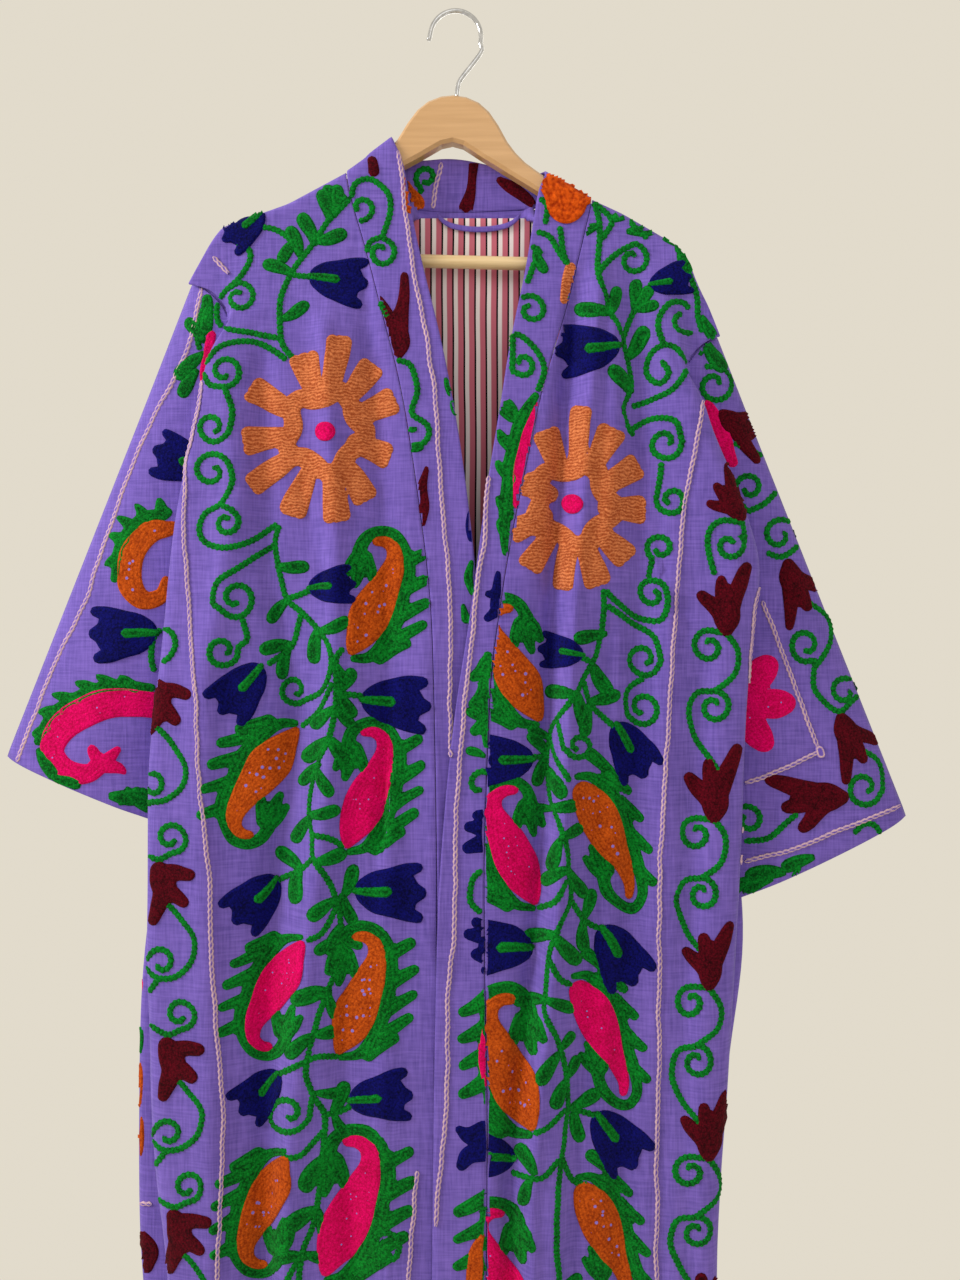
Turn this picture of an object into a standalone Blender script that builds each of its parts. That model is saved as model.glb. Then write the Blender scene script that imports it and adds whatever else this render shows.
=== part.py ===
"""A long open jacket of violet embroidered cotton, hung on a flat wooden hanger.

Lengths are in millimetres and are turned to metres where a mesh is made. X runs to the
viewer's right, Y away from the viewer, Z up. The origin is the inner top of the hook. A level
on the garment is its drop, the distance below the origin. Each cloth piece is a grid of points
for its outer face, moved inwards by the thickness of the cloth to give the inner face.
"""

import math

import bpy
import numpy as np

WALL = 1.3  # cotton and its lining, pressed together
BAND_WALL = 2.2  # the collar band is doubled
LINING_WALL = 1.0
GAP = 0.3
HEM = 1320.0  # drop of the hem
ROWS = 24  # rows of each front below the curl
CURL = 9.0  # height over which the cloth turns over the hanger
WOOD_THICK = 15.0
WOOD_TURN = math.radians(1.5)  # the hanger hangs a little lower on the viewer's right
WOOD_X = -2.0
BAR_RADIUS = 6.2
BAR_HALF = 171.7
BAR_DROP = 239.5
WIRE = 2.3

# Top line of the cloth over the hanger: distance from the middle, drop.
SHOULDER_L = ((-249, 260), (-242, 247), (-228, 220.7), (-218, 207.5), (-157, 185.8), (-103, 156.5))
SHOULDER_R = (
    (128, 182), (136, 185.8), (156, 195), (174, 205.6), (199, 220.7), (211, 230),
    (218, 241.4), (225, 260), (235, 281), (246, 309),
)
NECK = ((-103, 156.5), (-82, 174), (-62, 183), (-45, 186), (0, 188.5), (50, 187), (90, 184), (128, 182))

# Seam between each front and the collar band, and the band's free edge: drop, x.
SEAM_L = (
    (156.5, -103), (182, -98.6), (238, -82), (288, -69.6), (340, -55.3), (394, -44), (505, -28),
    (572, -21), (692, -18), (830, -16), (1320, -18),
)
SEAM_R = (
    (182, 128), (215, 120.5), (285, 104), (368, 78.6), (437, 64.6), (506, 50), (563, 40.7),
    (634, 31.6), (794, 26), (917, 27), (1022, 29.5), (1320, 27),
)
EDGE_L = (
    (130, -55), (200, -42.5), (258, -28.3), (317, -13.2), (375, -2), (426, 6.2), (512, 17.2),
    (600, 24), (700, 28), (1320, 28),
)
EDGE_R = (
    (160, 82), (194, 76.8), (230, 69.6), (270, 61.5), (314, 51.2), (384, 40.9), (456, 28.5),
    (513, 21.7), (589, 11.7), (645, 1.8), (713, -6.3), (824, -15.3), (996, -18.8), (1320, -22),
)

# Outermost line of each front's side fold, and the seam behind it: drop, x.
FOLD_L = (
    (260, -249), (272, -226), (289, -221.5), (319, -225.3), (360, -235), (404, -243), (446, -251),
    (488, -259), (560, -266), (625, -271.5), (698, -282.6), (823, -282), (878, -284.6),
    (960, -280), (1015, -281.6), (1098, -274.4), (1172, -263.6), (1320, -262),
)
FOLD_R = (
    (309, 246), (325, 226), (338, 221), (353, 224), (375, 229.4), (404, 236.3), (450, 257.5),
    (488, 270.4), (506, 280), (533, 282.6), (578, 274.7), (628, 269), (684, 266), (812, 261.4),
    (960, 253), (1015, 251), (1070, 244), (1172, 240.4), (1320, 239),
)
SIDE_L = (
    (260, -249), (264, -238), (272, -224), (288, -212), (310, -206), (360, -203), (500, -204),
    (560, -205), (830, -207), (900, -216), (1000, -226), (1320, -218),
)
SIDE_R = (
    (309, 246), (315, 237), (325, 224), (341, 212), (360, 206), (410, 203), (550, 204),
    (610, 205), (890, 207), (960, 216), (1060, 214), (1320, 210),
)
# Outermost line of the back panel's side folds.
BACK_L = (
    (260, -249), (300, -232), (400, -240), (500, -254), (600, -264), (700, -276), (820, -292),
    (878, -301), (930, -306), (1075, -307), (1146, -308), (1213, -303), (1320, -296),
)
BACK_R = (
    (309, 246), (330, 226), (350, 224), (420, 240), (500, 262), (600, 268), (700, 267), (800, 271), (860, 279),
    (900, 279), (960, 269), (1000, 262), (1100, 254), (1320, 250),
)
# How far the cloth stands in front of the hanger's middle, and behind it: drop, distance.
FRONT = ((150, 10.6), (200, 12), (250, 16), (300, 21), (400, 29), (500, 34), (600, 36.5), (1320, 40))
BACK = ((150, 12.2), (200, 14), (250, 18), (300, 22), (400, 27), (600, 31), (1320, 34))
# Outer faces of the cloth that turns back at the sides: drop, y.
RETURN_FRONT = ((260, -11), (300, -12), (880, -12), (1000, -8), (1320, -7))
RETURN_BACK = ((260, 13), (300, 15.5), (880, 15.5), (1000, 12), (1320, 12))

# The largest folds: half width, then drop, x and height. A trough has a height below nothing.
FOLDS_LEFT = (
    (17, ((290, -205, 2), (392, -205, 4), (474, -198, 5), (561, -215, 6), (640, -232, 7), (760, -231, 6), (1320, -225, 4))),
    (20, ((430, -152, 0), (500, -146, -4), (661, -139, -8), (761, -155, -8), (961, -175, -8), (1060, -178, -8), (1320, -160, -8))),
    (17, ((292, -112, 2), (344, -106, 4), (541, -102, 6), (694, -106, 8), (881, -119, 8), (1060, -139, 8), (1320, -150, 7))),
    (15, ((189, -92, -1), (308, -78, -4), (391, -70, -4), (520, -58, -3), (600, -55, 0))),
)
FOLDS_RIGHT = (
    (14, ((248, 118, 0), (342, 108, -4), (418, 97, -6), (528, 90, -8), (700, 78, -7), (850, 66, -5), (1000, 62, -3), (1320, 60, -3))),
    (17, ((236, 140, 1), (376, 131, 3), (500, 121, 6), (661, 104, 8), (894, 92, 9), (1028, 86, 9), (1320, 92, 8))),
    (18, ((230, 162, -1), (342, 169, -4), (541, 174, -4), (728, 165, -6), (994, 176, -8), (1320, 170, -8))),
    (16, ((296, 198, 2), (370, 208, 5), (431, 226, 7), (527, 262, 6), (594, 254, 5), (800, 238, 4), (1000, 222, 6), (1320, 206, 7))),
)
FOLDS_BACK = (
    (24, ((300, -190, 3), (600, -208, 7), (1320, -232, 8))),
    (22, ((260, -120, -3), (600, -136, -7), (1320, -150, -8))),
    (26, ((240, -40, 3), (700, -62, 8), (1320, -74, 8))),
    (20, ((300, 22, -3), (700, 10, -7), (1320, 6, -8))),
    (24, ((260, 96, 4), (700, 88, 8), (1320, 92, 8))),
    (20, ((320, 158, -4), (700, 152, -7), (1320, 150, -8))),
    (22, ((360, 206, 3), (700, 214, 7), (1320, 196, 7))),
)


def along(table, drop):
    """A column of a table at any drop, by straight lines between its rows."""
    return np.interp(drop, [row[0] for row in table], [row[1] for row in table])


def smooth(low, high, value):
    t = np.clip((value - low) / (high - low), 0, 1)
    return t * t * (3 - 2 * t)


def relief(folds, x, drop):
    """Height of the folds above the plain surface at a point."""
    total = 0.0
    for half, rows in folds:
        at = np.interp(drop, [r[0] for r in rows], [r[1] for r in rows])
        height = np.interp(drop, [r[0] for r in rows], [r[2] for r in rows])
        starts = smooth(rows[0][0] - 60, rows[0][0] + 20, drop)
        total = total + height * starts * np.exp(-(((x - at) / half) ** 2))
    return total


def normals(grid, closed):
    """Unit normals of a grid of points, pointing to the side that the columns turn round."""
    if closed:
        across = np.roll(grid, -1, 1) - np.roll(grid, 1, 1)
    else:
        across = np.gradient(grid, axis=1, edge_order=2)
    down = np.gradient(grid, axis=0, edge_order=2)
    found = np.cross(across, down)
    for _ in range(3):
        found = found / np.maximum(np.linalg.norm(found, axis=2, keepdims=True), 1e-9)
        if closed:
            found = found * 2 + np.roll(found, 1, 1) + np.roll(found, -1, 1)
        else:
            padded = np.pad(found, ((1, 1), (1, 1), (0, 0)), "edge")
            found = found * 2 + padded[1:-1, :-2] + padded[1:-1, 2:]
            found[1:] += padded[:-2, 1:-1][1:] + padded[2:, 1:-1][1:]
    return found / np.maximum(np.linalg.norm(found, axis=2, keepdims=True), 1e-9)


def inside_a_turn(grid, closed, wall):
    """The wall at each point: thinner inside a turn too tight for the whole of it."""
    found = normals(grid, closed)
    thick = np.full(grid.shape[:2] + (1,), wall)
    for _ in range(10):
        inner = grid - found * thick
        for axis in (0, 1):
            steps = np.diff(grid, axis=axis)
            kept = (np.diff(inner, axis=axis) * steps).sum(2) > 0.25 * (steps**2).sum(2)
            factor = np.where(kept, 1, 0.82)[..., None]
            if axis == 0:
                thick[:-1] *= factor
                thick[1:] *= factor
            else:
                thick[:, :-1] *= factor
                thick[:, 1:] *= factor
        thick = np.maximum(thick, 0.25)
    return thick


def material(name, hex_colour, rough, metal=0.0):
    made = bpy.data.materials.new(name)
    made.use_nodes = True
    shader = made.node_tree.nodes["Principled BSDF"]
    srgb = [int(hex_colour[i : i + 2], 16) / 255 for i in (0, 2, 4)]
    linear = [c / 12.92 if c <= 0.04045 else ((c + 0.055) / 1.055) ** 2.4 for c in srgb]
    shader.inputs["Base Color"].default_value = (*linear, 1)
    shader.inputs["Roughness"].default_value = rough
    shader.inputs["Metallic"].default_value = metal
    return made


def add_node(name, points, faces, look):
    mesh = bpy.data.meshes.new(name)
    mesh.from_pydata((np.asarray(points) / 1000).tolist(), [], faces)
    mesh.materials.append(look)
    mesh.validate()
    node = bpy.data.objects.new(name, mesh)
    bpy.context.scene.collection.objects.link(node)
    return node


def cloth(name, grid, wall, look, facing=None):
    """A closed wall from the grid of its outer face. Rows run down, columns run across.

    An open piece gives the way that its outer face looks; a tube looks away from its middle.
    """
    closed = facing is None
    found = normals(grid, closed)
    away = grid - grid.mean(axis=1, keepdims=True) if closed else np.array(facing, float)
    if (found * away).sum() < 0:
        grid = grid[:, ::-1]
    rows, cols = grid.shape[:2]
    inner = grid - normals(grid, closed) * inside_a_turn(grid, closed, wall)
    if not closed:  # neither the fronts nor the back pass the middle plane of the hanger
        inner[..., 1] = np.where(grid[..., 1] < 0, np.minimum(inner[..., 1], -0.2), np.maximum(inner[..., 1], 0.2))
    points = np.concatenate([grid.reshape(-1, 3), inner.reshape(-1, 3)])
    step = rows * cols
    faces = []
    for i in range(rows - 1):
        for j in range(cols if closed else cols - 1):
            k = (j + 1) % cols
            a, b, c, d = i * cols + j, i * cols + k, (i + 1) * cols + k, (i + 1) * cols + j
            faces.append((a, b, c, d))
            faces.append((step + d, step + c, step + b, step + a))
    for j in range(cols if closed else cols - 1):
        k = (j + 1) % cols
        faces.append((k, j, step + j, step + k))
        low = (rows - 1) * cols
        faces.append((low + j, low + k, step + low + k, step + low + j))
    if not closed:
        for i in range(rows - 1):
            a, b = i * cols, (i + 1) * cols
            faces.append((a, b, step + b, step + a))
            a, b = a + cols - 1, b + cols - 1
            faces.append((b, a, step + a, step + b))
    return add_node(name, points, faces, look)


def fold_shape(side, fold, seam, depth, turned):
    """Where the side fold starts to turn, its radius, and the length of cloth behind it."""
    theta = math.pi * turned
    if theta < 0.9:
        return seam - side * 22, 0.0, 0.0
    radius = abs(depth) / (1 - math.cos(theta))
    length = max(0.0, side * (fold - seam) - abs(depth) / 2) * smooth(0.88, 1, turned)
    last = seam - side * math.cos(theta) * length
    return last - side * radius * math.sin(theta), radius, length


def side_points(side, drops, face_end, fold, seam, face_y, back_y, seam_y, turned):
    """Eight points that carry a panel from its face round the side fold to its seam.

    The fold grows out of the flat cloth: it turns through a wider and wider angle, and only
    then does the cloth behind it grow long.
    """
    theta = math.pi * turned
    first, radius, length = fold_shape(side, fold, seam, back_y - face_y, turned)
    path = [(face_end, face_y)]
    if radius:
        bow = math.copysign(radius, back_y - face_y)
        for k in range(13):
            a = theta * k / 12
            path.append((first + side * radius * math.sin(a), face_y + bow * (1 - math.cos(a))))
        if length > 12:
            last = path[-1]
            path.append((last[0] + (seam - last[0]) * 0.75, back_y + (seam_y - back_y) * 0.25))
    path.append((seam, seam_y))
    path = np.array(path)
    run = np.concatenate([[0], np.cumsum(np.linalg.norm(np.diff(path, axis=0), axis=1))])
    at = run[-1] * np.arange(1, 9) / 8
    if turned == 1:
        bend = run[-1] - np.hypot(*(path[-1] - path[-3]))
        split = np.concatenate([np.arange(1, 6) / 5 * bend, bend + (run[-1] - bend) * np.array((0.4, 0.75, 1))])
        at = split if run[-1] - bend > 14 else at
    return [
        (np.interp(at[k], run, path[:, 0]), np.interp(at[k], run, path[:, 1]), -drops[k])
        for k in range(8)
    ]


def levels(count, outward=0.0):
    """Shares of the way from the top line to the hem: close together at the top, and closer
    still at the outer end of a shoulder, where outward is 1."""
    return [(i / count) ** (1.35 + 0.45 * outward) for i in range(1, count + 1)]


def front(side):
    """Outer face of one front. Side is -1 for the viewer's left and 1 for the right."""
    shoulder = SHOULDER_L[::-1] if side < 0 else SHOULDER_R
    seam_table = SEAM_L if side < 0 else SEAM_R
    fold_table = FOLD_L if side < 0 else FOLD_R
    side_table = SIDE_L if side < 0 else SIDE_R
    folds = FOLDS_LEFT if side < 0 else FOLDS_RIGHT
    top_out = 260 if side < 0 else 309
    underarm = 545 if side < 0 else 598
    share = np.linspace(0, 1, 18)
    tops = np.array([p[1] for p in shoulder])
    outs = np.array([abs(p[0]) for p in shoulder])
    outs = (outs - outs[0]) / (outs[-1] - outs[0])
    rows = []
    curl = [(0, 0.0), (0, 0.4), (0, 0.75), (0, 1.0)]
    for level, turn in curl + [(i, 1.0) for i in range(1, ROWS + 1)]:
        angle = turn * math.pi / 2
        dip = CURL * (1 - math.cos(angle))
        outer = levels(ROWS, 1)[level - 1] if level else 0
        inner = levels(ROWS)[level - 1] if level else 0
        drop_out = top_out + dip * 0.5 + (HEM - top_out - dip * 0.5) * outer
        rolled = min(1, max(0, (drop_out - top_out - 7) / 48))
        read_at = drop_out if level else top_out
        seam = along(side_table, read_at)
        fold = along(fold_table, read_at)
        back_y = along(RETURN_FRONT, drop_out)
        start = along(seam_table, tops[0] + dip + (HEM - tops[0] - dip) * inner) + side * GAP
        reach = abs(seam - start)
        place = np.concatenate([share, np.arange(1, 9) / 8])
        flat_end = 1 - 30 / reach
        last = flat_end + (1 - flat_end) * rolled
        place = np.where(np.arange(len(place)) < len(share), place * last, last + (1 - last) * place)
        straight = tops[0] + (tops[-1] - tops[0]) * place
        top_line = np.interp(place, outs, tops)
        top_line = top_line + (straight - top_line) * smooth(0, 9, level)
        top_line = top_line + dip * (1 - 0.5 * smooth(0.8, 1, place))
        drops = top_line + (HEM - top_line) * (level / ROWS) ** (1.35 + 0.45 * place)
        drop = drops[: len(share)]
        lift = 1.2 * smooth(420, 520, drop_out) if side > 0 else 0
        edge_y = -(along(FRONT, drop[-1]) + lift)
        end = fold_shape(side, fold, seam, back_y - edge_y, rolled)[0] - side * 8 * (1 - rolled)
        x = start + (end - start) * share
        lifts = 4.5 * smooth(420, 520, drop) * smooth(120, 50, x) + 1.2 * smooth(420, 520, drop) if side > 0 else 0
        away = relief(folds, x, drop) * smooth(0, 0.14, share) * smooth(1.0, 0.86, share)
        deep = np.interp(drop, [r[0] for r in FRONT], [r[1] for r in FRONT])
        y = -(deep + lifts + away) * math.sin(angle) - (1 - math.sin(angle)) * 0.2
        row = [(x[k], y[k], -drop[k]) for k in range(len(share))]
        under = smooth(underarm + 10, underarm + 80, drop_out)
        seam_y = back_y + (0.85 - back_y) * under
        if turn < 1:
            seam_y = -0.2 + (seam_y + 0.2) * math.sin(angle)
        row += side_points(side, drops[len(share) :], end, fold, seam, y[-1], back_y, seam_y, rolled)
        rows.append(row)
    return np.array(rows)


def back():
    """Outer face of the back, from the viewer's left side seam to the right one."""
    share = np.linspace(0, 1, 19)
    top = SHOULDER_L + NECK[1:] + SHOULDER_R[1:]
    tops = np.array([p[1] for p in top])
    places = np.array([p[0] for p in top])
    rows = []
    curl = [(0, 0.0), (0, 0.4), (0, 0.75), (0, 1.0)]
    for level, turn in curl + [(i, 1.0) for i in range(1, ROWS + 1)]:
        angle = turn * math.pi / 2
        dip = CURL * (1 - math.cos(angle))
        outer = levels(ROWS, 1)[level - 1] if level else 0
        ends = []
        for side, top_out, top_x in ((-1, 260, -249), (1, 309, 246)):
            drop_out = top_out + dip * 0.5 + (HEM - top_out - dip * 0.5) * outer
            read_at = drop_out if level else top_out
            rolled = min(1, max(0, (drop_out - top_out - 7) / 48))
            seam = along(SIDE_L if side < 0 else SIDE_R, read_at)
            fold = along(BACK_L if side < 0 else BACK_R, read_at)
            back_y = along(RETURN_BACK, drop_out)
            last = top_x - side * 30 * (1 - rolled)
            place = last + (top_x - last) * np.arange(1, 9) / 8
            top_there = np.interp(last, places, tops) + dip
            face_y = along(BACK, top_there + (HEM - top_there) * outer)
            end = fold_shape(side, fold, seam, back_y - face_y, rolled)[0] - side * 8 * (1 - rolled)
            underarm = 545 if side < 0 else 598
            under = smooth(underarm + 10, underarm + 80, drop_out)
            seam_y = back_y + (1.15 - back_y) * under
            if turn < 1:
                seam_y = 0.2 + (seam_y - 0.2) * math.sin(angle)
            ends.append((rolled, seam, fold, back_y, end, seam_y, last, place))
        x = ends[0][4] + (ends[1][4] - ends[0][4]) * share
        x_top = np.concatenate(
            [ends[0][7][::-1], ends[0][6] + (ends[1][6] - ends[0][6]) * share, ends[1][7]]
        )
        tip = np.minimum(abs(x_top + 249), abs(x_top - 246))
        line = np.interp(x_top, places, tops)
        straight = np.interp(x_top, (-249, -103, 0, 128, 246), (260, 156.5, 188.5, 182, 309))
        line = line + (straight - line) * smooth(0, 9, level) + dip * (1 - 0.5 * smooth(60, 0, tip))
        drops = line + (HEM - line) * (level / ROWS) ** (1.35 + 0.45 * smooth(110, 249, abs(x_top)))
        drop = drops[8:-8]
        away = relief(FOLDS_BACK, x, drop) * smooth(0, 0.1, share) * smooth(1.0, 0.9, share)
        deep = np.interp(drop, [r[0] for r in BACK], [r[1] for r in BACK])
        y = (deep + away) * math.sin(angle) + (1 - math.sin(angle)) * 0.2
        in_neck = smooth(-115, -99, x_top[8:-8]) * smooth(140, 124, x_top[8:-8])
        y = y + in_neck * (1 - math.sin(angle)) * 13.6
        row = [(x[k], y[k], -drop[k]) for k in range(len(share))]
        left = side_points(-1, drops[7::-1], ends[0][4], ends[0][2], ends[0][1], y[0], ends[0][3], ends[0][5], ends[0][0])
        right = side_points(1, drops[-8:], ends[1][4], ends[1][2], ends[1][1], y[-1], ends[1][3], ends[1][5], ends[1][0])
        rows.append(left[::-1] + row + right)
    return np.array(rows)


def lining():
    """Face of the back lining that looks into the jacket, just inside the back panel."""
    rows = []
    for drop in (194, 215, 245, 285, 340, 420, 520, 640, 780, 930, 1090, 1296):
        across = np.linspace(0, 1, 16)
        low = max(along(BACK_L, max(drop, 320)) + 30, -220) if drop > 262 else -60 - (drop - 194) * 1.9
        high = min(along(BACK_R, max(drop, 360)) - 30, 216) if drop > 310 else 100 + (drop - 194) * 0.85
        x = low + (high - low) * across
        deep = along(BACK, drop) + relief(FOLDS_BACK, x, drop) - WALL - LINING_WALL
        deep = deep - 1.6 - 2.4 * smooth(194, 300, drop)
        rows.append([(x[k], deep[k], -drop) for k in range(len(x))])
    return np.array(rows)


def band():
    """Outer face of the collar band, from the viewer's left hem round the neck to the right."""
    path = []
    for level in [0.0] + levels(ROWS):
        drop = 165.5 + (HEM - 165.5) * level
        seam, edge = along(SEAM_L, drop) + GAP, along(EDGE_L, drop)
        deep = along(FRONT, drop)
        sunk = 3.5 * smooth(420, 520, drop)
        high = 14 * smooth(250, 165, drop)
        path.insert(0, ((seam, -deep, -drop), (edge, -deep + sunk + 0.6, -drop + high)))
    path += [
        ((-101.7, -10.4, -161), (-54.5, -11.4, -138)),
        ((-101.9, -6.6, -156), (-60, -9.6, -126)),
        ((-101.9, 1.5, -153.6), (-59.5, 1.5, -123.6)),
        ((-96, 11, -156.4), (-56, 10.8, -129)),
        ((-82, 13.8, -170.6), (-43, 12.2, -138.4)),
        ((-62, 14.4, -180.4), (-28, 12.6, -138.6)),
        ((-36, 14.7, -185.4), (-14, 12.8, -136.6)),
        ((0, 14.8, -187.8), (4, 12.8, -137)),
        ((36, 14.8, -186), (26, 12.6, -141.6)),
        ((66, 14.7, -184.2), (46, 12.4, -147)),
        ((96, 14, -181.6), (63, 11.8, -150.4)),
        ((118, 11, -178), (77, 11, -152)),
        ((126.4, 1.5, -178.2), (84, 1.5, -153.2)),
        ((126.8, -6.6, -181.4), (84.4, -6.8, -156.8)),
        ((126.6, -10.6, -186.4), (83, -10.8, -164)),
    ]
    for level in [0.0] + levels(ROWS):
        drop = 191 + (HEM - 191) * level
        seam, edge = along(SEAM_R, drop) - GAP, along(EDGE_R, drop)
        deep = along(FRONT, drop) + 5.7 * smooth(420, 520, drop)
        high = 16 * smooth(260, 191, drop)
        path.append(((seam, -deep, -drop), (edge, -deep + 0.4, -drop + high)))
    rows = []
    for seam, edge in path:
        seam, edge = np.array(seam, float), np.array(edge, float)
        rows.append([tuple(seam + (edge - seam) * t) for t in np.linspace(0, 1, 6)])
    return np.array(rows)


def sleeve(side, front_grid, back_grid):
    """Outer face of one sleeve, rings from the armhole that the body leaves to the cuff."""
    underarm = 545 if side < 0 else 598
    fold_table = FOLD_L if side < 0 else FOLD_R
    cuff_out = np.array((-425, -706)) if side < 0 else np.array((426, -762))
    cuff_in = np.array((-227, -787)) if side < 0 else np.array((231, -853))
    base = np.array((-206, 1.5, -underarm - 1.0)) if side < 0 else np.array((206, 1.5, -underarm - 1.0))
    half = 12
    ways = []
    for edge, toward in ((front_grid[:, -1], 0.5), (back_grid[:, 0 if side < 0 else -1], -0.5)):
        edge = np.array([p for p in edge if -p[2] < underarm - 10])
        edge = edge + np.array((side * 0.4, toward, -0.5))
        edge[0, 1] = 0
        edge = np.concatenate([edge, [base]])
        run = np.concatenate([[0], np.cumsum(np.linalg.norm(np.diff(edge, axis=0), axis=1))])
        at = run[-1] * np.linspace(0, 1, half + 1)
        ways.append(np.stack([np.interp(at, run, edge[:, k]) for k in range(3)], 1))
    rings = []
    for v in [0, 0.02, 0.07, 0.14, 0.22, 0.31, 0.4, 0.49, 0.58, 0.67, 0.76, 0.84, 0.92, 1.0]:
        ring = []
        for way, sign in ((ways[0], -1), (ways[1], 1)):
            for k in range(half):
                k = k if sign < 0 else half - k
                q = k / half
                cuff = cuff_out + (cuff_in - cuff_out) * q
                x = way[k][0] + (cuff[0] - way[k][0]) * v
                z = way[k][2] + (cuff[1] - way[k][2]) * v
                round_off = max(math.sin(math.pi * q), 0.0) ** 0.5
                outside = smooth(0, 34, side * (x - along(fold_table, -z)))
                full = (12.4 if sign < 0 else 12.8) + 7 * outside
                wanted = 1.5 + sign * full * round_off
                y = way[k][1] + (wanted - way[k][1]) * smooth(0, 0.25, v)
                ring.append((x, y, z))
        rings.append(ring)
    return np.array(rings)


def loop():
    rows = []
    for t in np.linspace(0, 1, 11):
        x = -18 + 79 * t
        drop = 190 + 13 * math.sin(math.pi * min(1, max(0, t * 1.0))) ** 0.45
        y = along(BACK, drop) - 6.5
        rows.append([(x, y, -drop), (x, y - 0.7, -drop - 2.7), (x, y, -drop - 5.4)])
    return np.array(rows)


def hanger_outline():
    """Half of the wooden hanger's outline, from the crown to the notch, in x and drop."""
    top = [
        (0, 84.5), (12, 86), (24, 91), (34, 99.5), (43, 112), (52, 127.5), (60, 137.5),
        (69, 146), (85, 157), (100, 166.5), (151, 196.5), (192, 217), (202, 223.5),
        (207, 231), (207.5, 239), (204, 246.5), (197, 251), (180, 252), (174, 250), (172, 246),
    ]
    return top + [(172, 231), (168, 224), (150, 213.6), (75, 170.3), (30, 144.3), (10, 132), (0, 129.5)]


def hanger_body(look):
    """The outline, with its front and back faces drawn in a little so that the edges are eased."""
    half = hanger_outline()
    outline = half + [(-x, drop) for x, drop in half[-2:0:-1]]
    outline = np.array(outline, float)
    ahead = np.roll(outline, -1, 0) - np.roll(outline, 1, 0)
    inward = np.stack([-ahead[:, 1], ahead[:, 0]], 1)
    inward /= np.linalg.norm(inward, axis=1, keepdims=True)
    points = []
    for y, ease in ((-WOOD_THICK / 2, 3.4), (-4.6, 0.6), (4.6, 0.6), (WOOD_THICK / 2, 3.4)):
        for (x, drop), (ix, idrop) in zip(outline, inward):
            px, pd = x + ix * ease, drop + idrop * ease
            points.append((px, y, pd))
    count = len(outline)
    faces = [tuple(range(count))[::-1], tuple(range(3 * count, 4 * count))]
    for layer in range(3):
        for j in range(count):
            k = (j + 1) % count
            a = layer * count
            faces.append((a + j, a + k, a + count + k, a + count + j))
    return add_node("hanger_body", [turned(p) for p in points], faces, look)


def turned(point):
    """Turns a point of the hanger about its crown by the angle at which it hangs."""
    x, y, drop = point
    up = 84.5 - drop
    c, s = math.cos(WOOD_TURN), math.sin(WOOD_TURN)
    return (WOOD_X + x * c + up * s, y, -84.5 - x * s + up * c)


def tube(name, path, radius, sides, look):
    """A round rod along a path of points, with flat ends."""
    path = np.array(path, float)
    ahead = np.gradient(path, axis=0)
    ahead /= np.linalg.norm(ahead, axis=1, keepdims=True)
    depth = np.array((0.0, 1.0, 0.0))
    points = []
    for at, way in zip(path, ahead):
        other = np.cross(way, depth)
        other /= np.linalg.norm(other)
        for k in range(sides):
            a = 2 * math.pi * k / sides
            points.append(at + radius * (math.cos(a) * depth + math.sin(a) * other))
    faces = [tuple(range(sides))[::-1], tuple(range(len(points) - sides, len(points)))]
    for i in range(len(path) - 1):
        for j in range(sides):
            k = (j + 1) % sides
            a, b = i * sides, (i + 1) * sides
            faces.append((a + j, a + k, b + k, b + j))
    return add_node(name, points, faces, look)


def hook(look):
    """The wire from the ball end over the top and down into the crown of the hanger."""
    centre, radius = (-0.4, -26.6), 24.3
    path = [(-25.6, 0, -30.5)]
    for degrees in range(180, -21, -20):
        a = math.radians(degrees)
        path.append((centre[0] + radius * math.cos(a), 0, centre[1] + radius * math.sin(a)))
    path += [(24.8, 0, -38), (23.9, 0, -43), (4.6, 0, -66.5), (2.2, 0, -71), (1.2, 0, -77), (0.9, 0, -84.2 + 0.3)]
    return tube("hanger_hook", path, WIRE, 10, look)


for old in list(bpy.data.objects):
    bpy.data.objects.remove(old, do_unlink=True)

violet = material("violet_cotton", "8A6CC8", 0.85)
striped = material("striped_lining", "C9A0A8", 0.9)
wood = material("lacquered_wood", "CDA06E", 0.4)
chrome = material("chrome_wire", "C8C8C8", 0.15, 1.0)

left_grid, right_grid, back_grid = front(-1), front(1), back()
cloth("front_left", left_grid, WALL, violet, facing=(0, -1, 0))
cloth("front_right", right_grid, WALL, violet, facing=(0, -1, 0))
cloth("back_panel", back_grid, WALL, violet, facing=(0, 1, 0))
cloth("sleeve_left", sleeve(-1, left_grid, back_grid), WALL, violet)
cloth("sleeve_right", sleeve(1, right_grid, back_grid), WALL, violet)
cloth("collar_band", band(), BAND_WALL, violet, facing=(0, -1, 0))
cloth("back_lining", lining(), LINING_WALL, striped, facing=(0, -1, 0))
cloth("hanging_loop", loop(), 1.2, violet, facing=(0, -1, 0))
hanger_body(wood)
tube("hanger_bar", [turned((x, 0, BAR_DROP)) for x in np.linspace(-BAR_HALF, BAR_HALF, 5)], BAR_RADIUS, 16, wood)
hook(chrome)
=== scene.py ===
# %% [markdown]
# # A long embroidered jacket on a wooden hanger
#
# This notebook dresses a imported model. The model gives the true size and place of every panel,
# and each cell adds one thing that the real jacket has: woven cloth, creases, thread, lacquer.

import math

import bmesh
import bpy
import numpy as np
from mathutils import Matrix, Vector, noise
from mathutils.bvhtree import BVHTree


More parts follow.
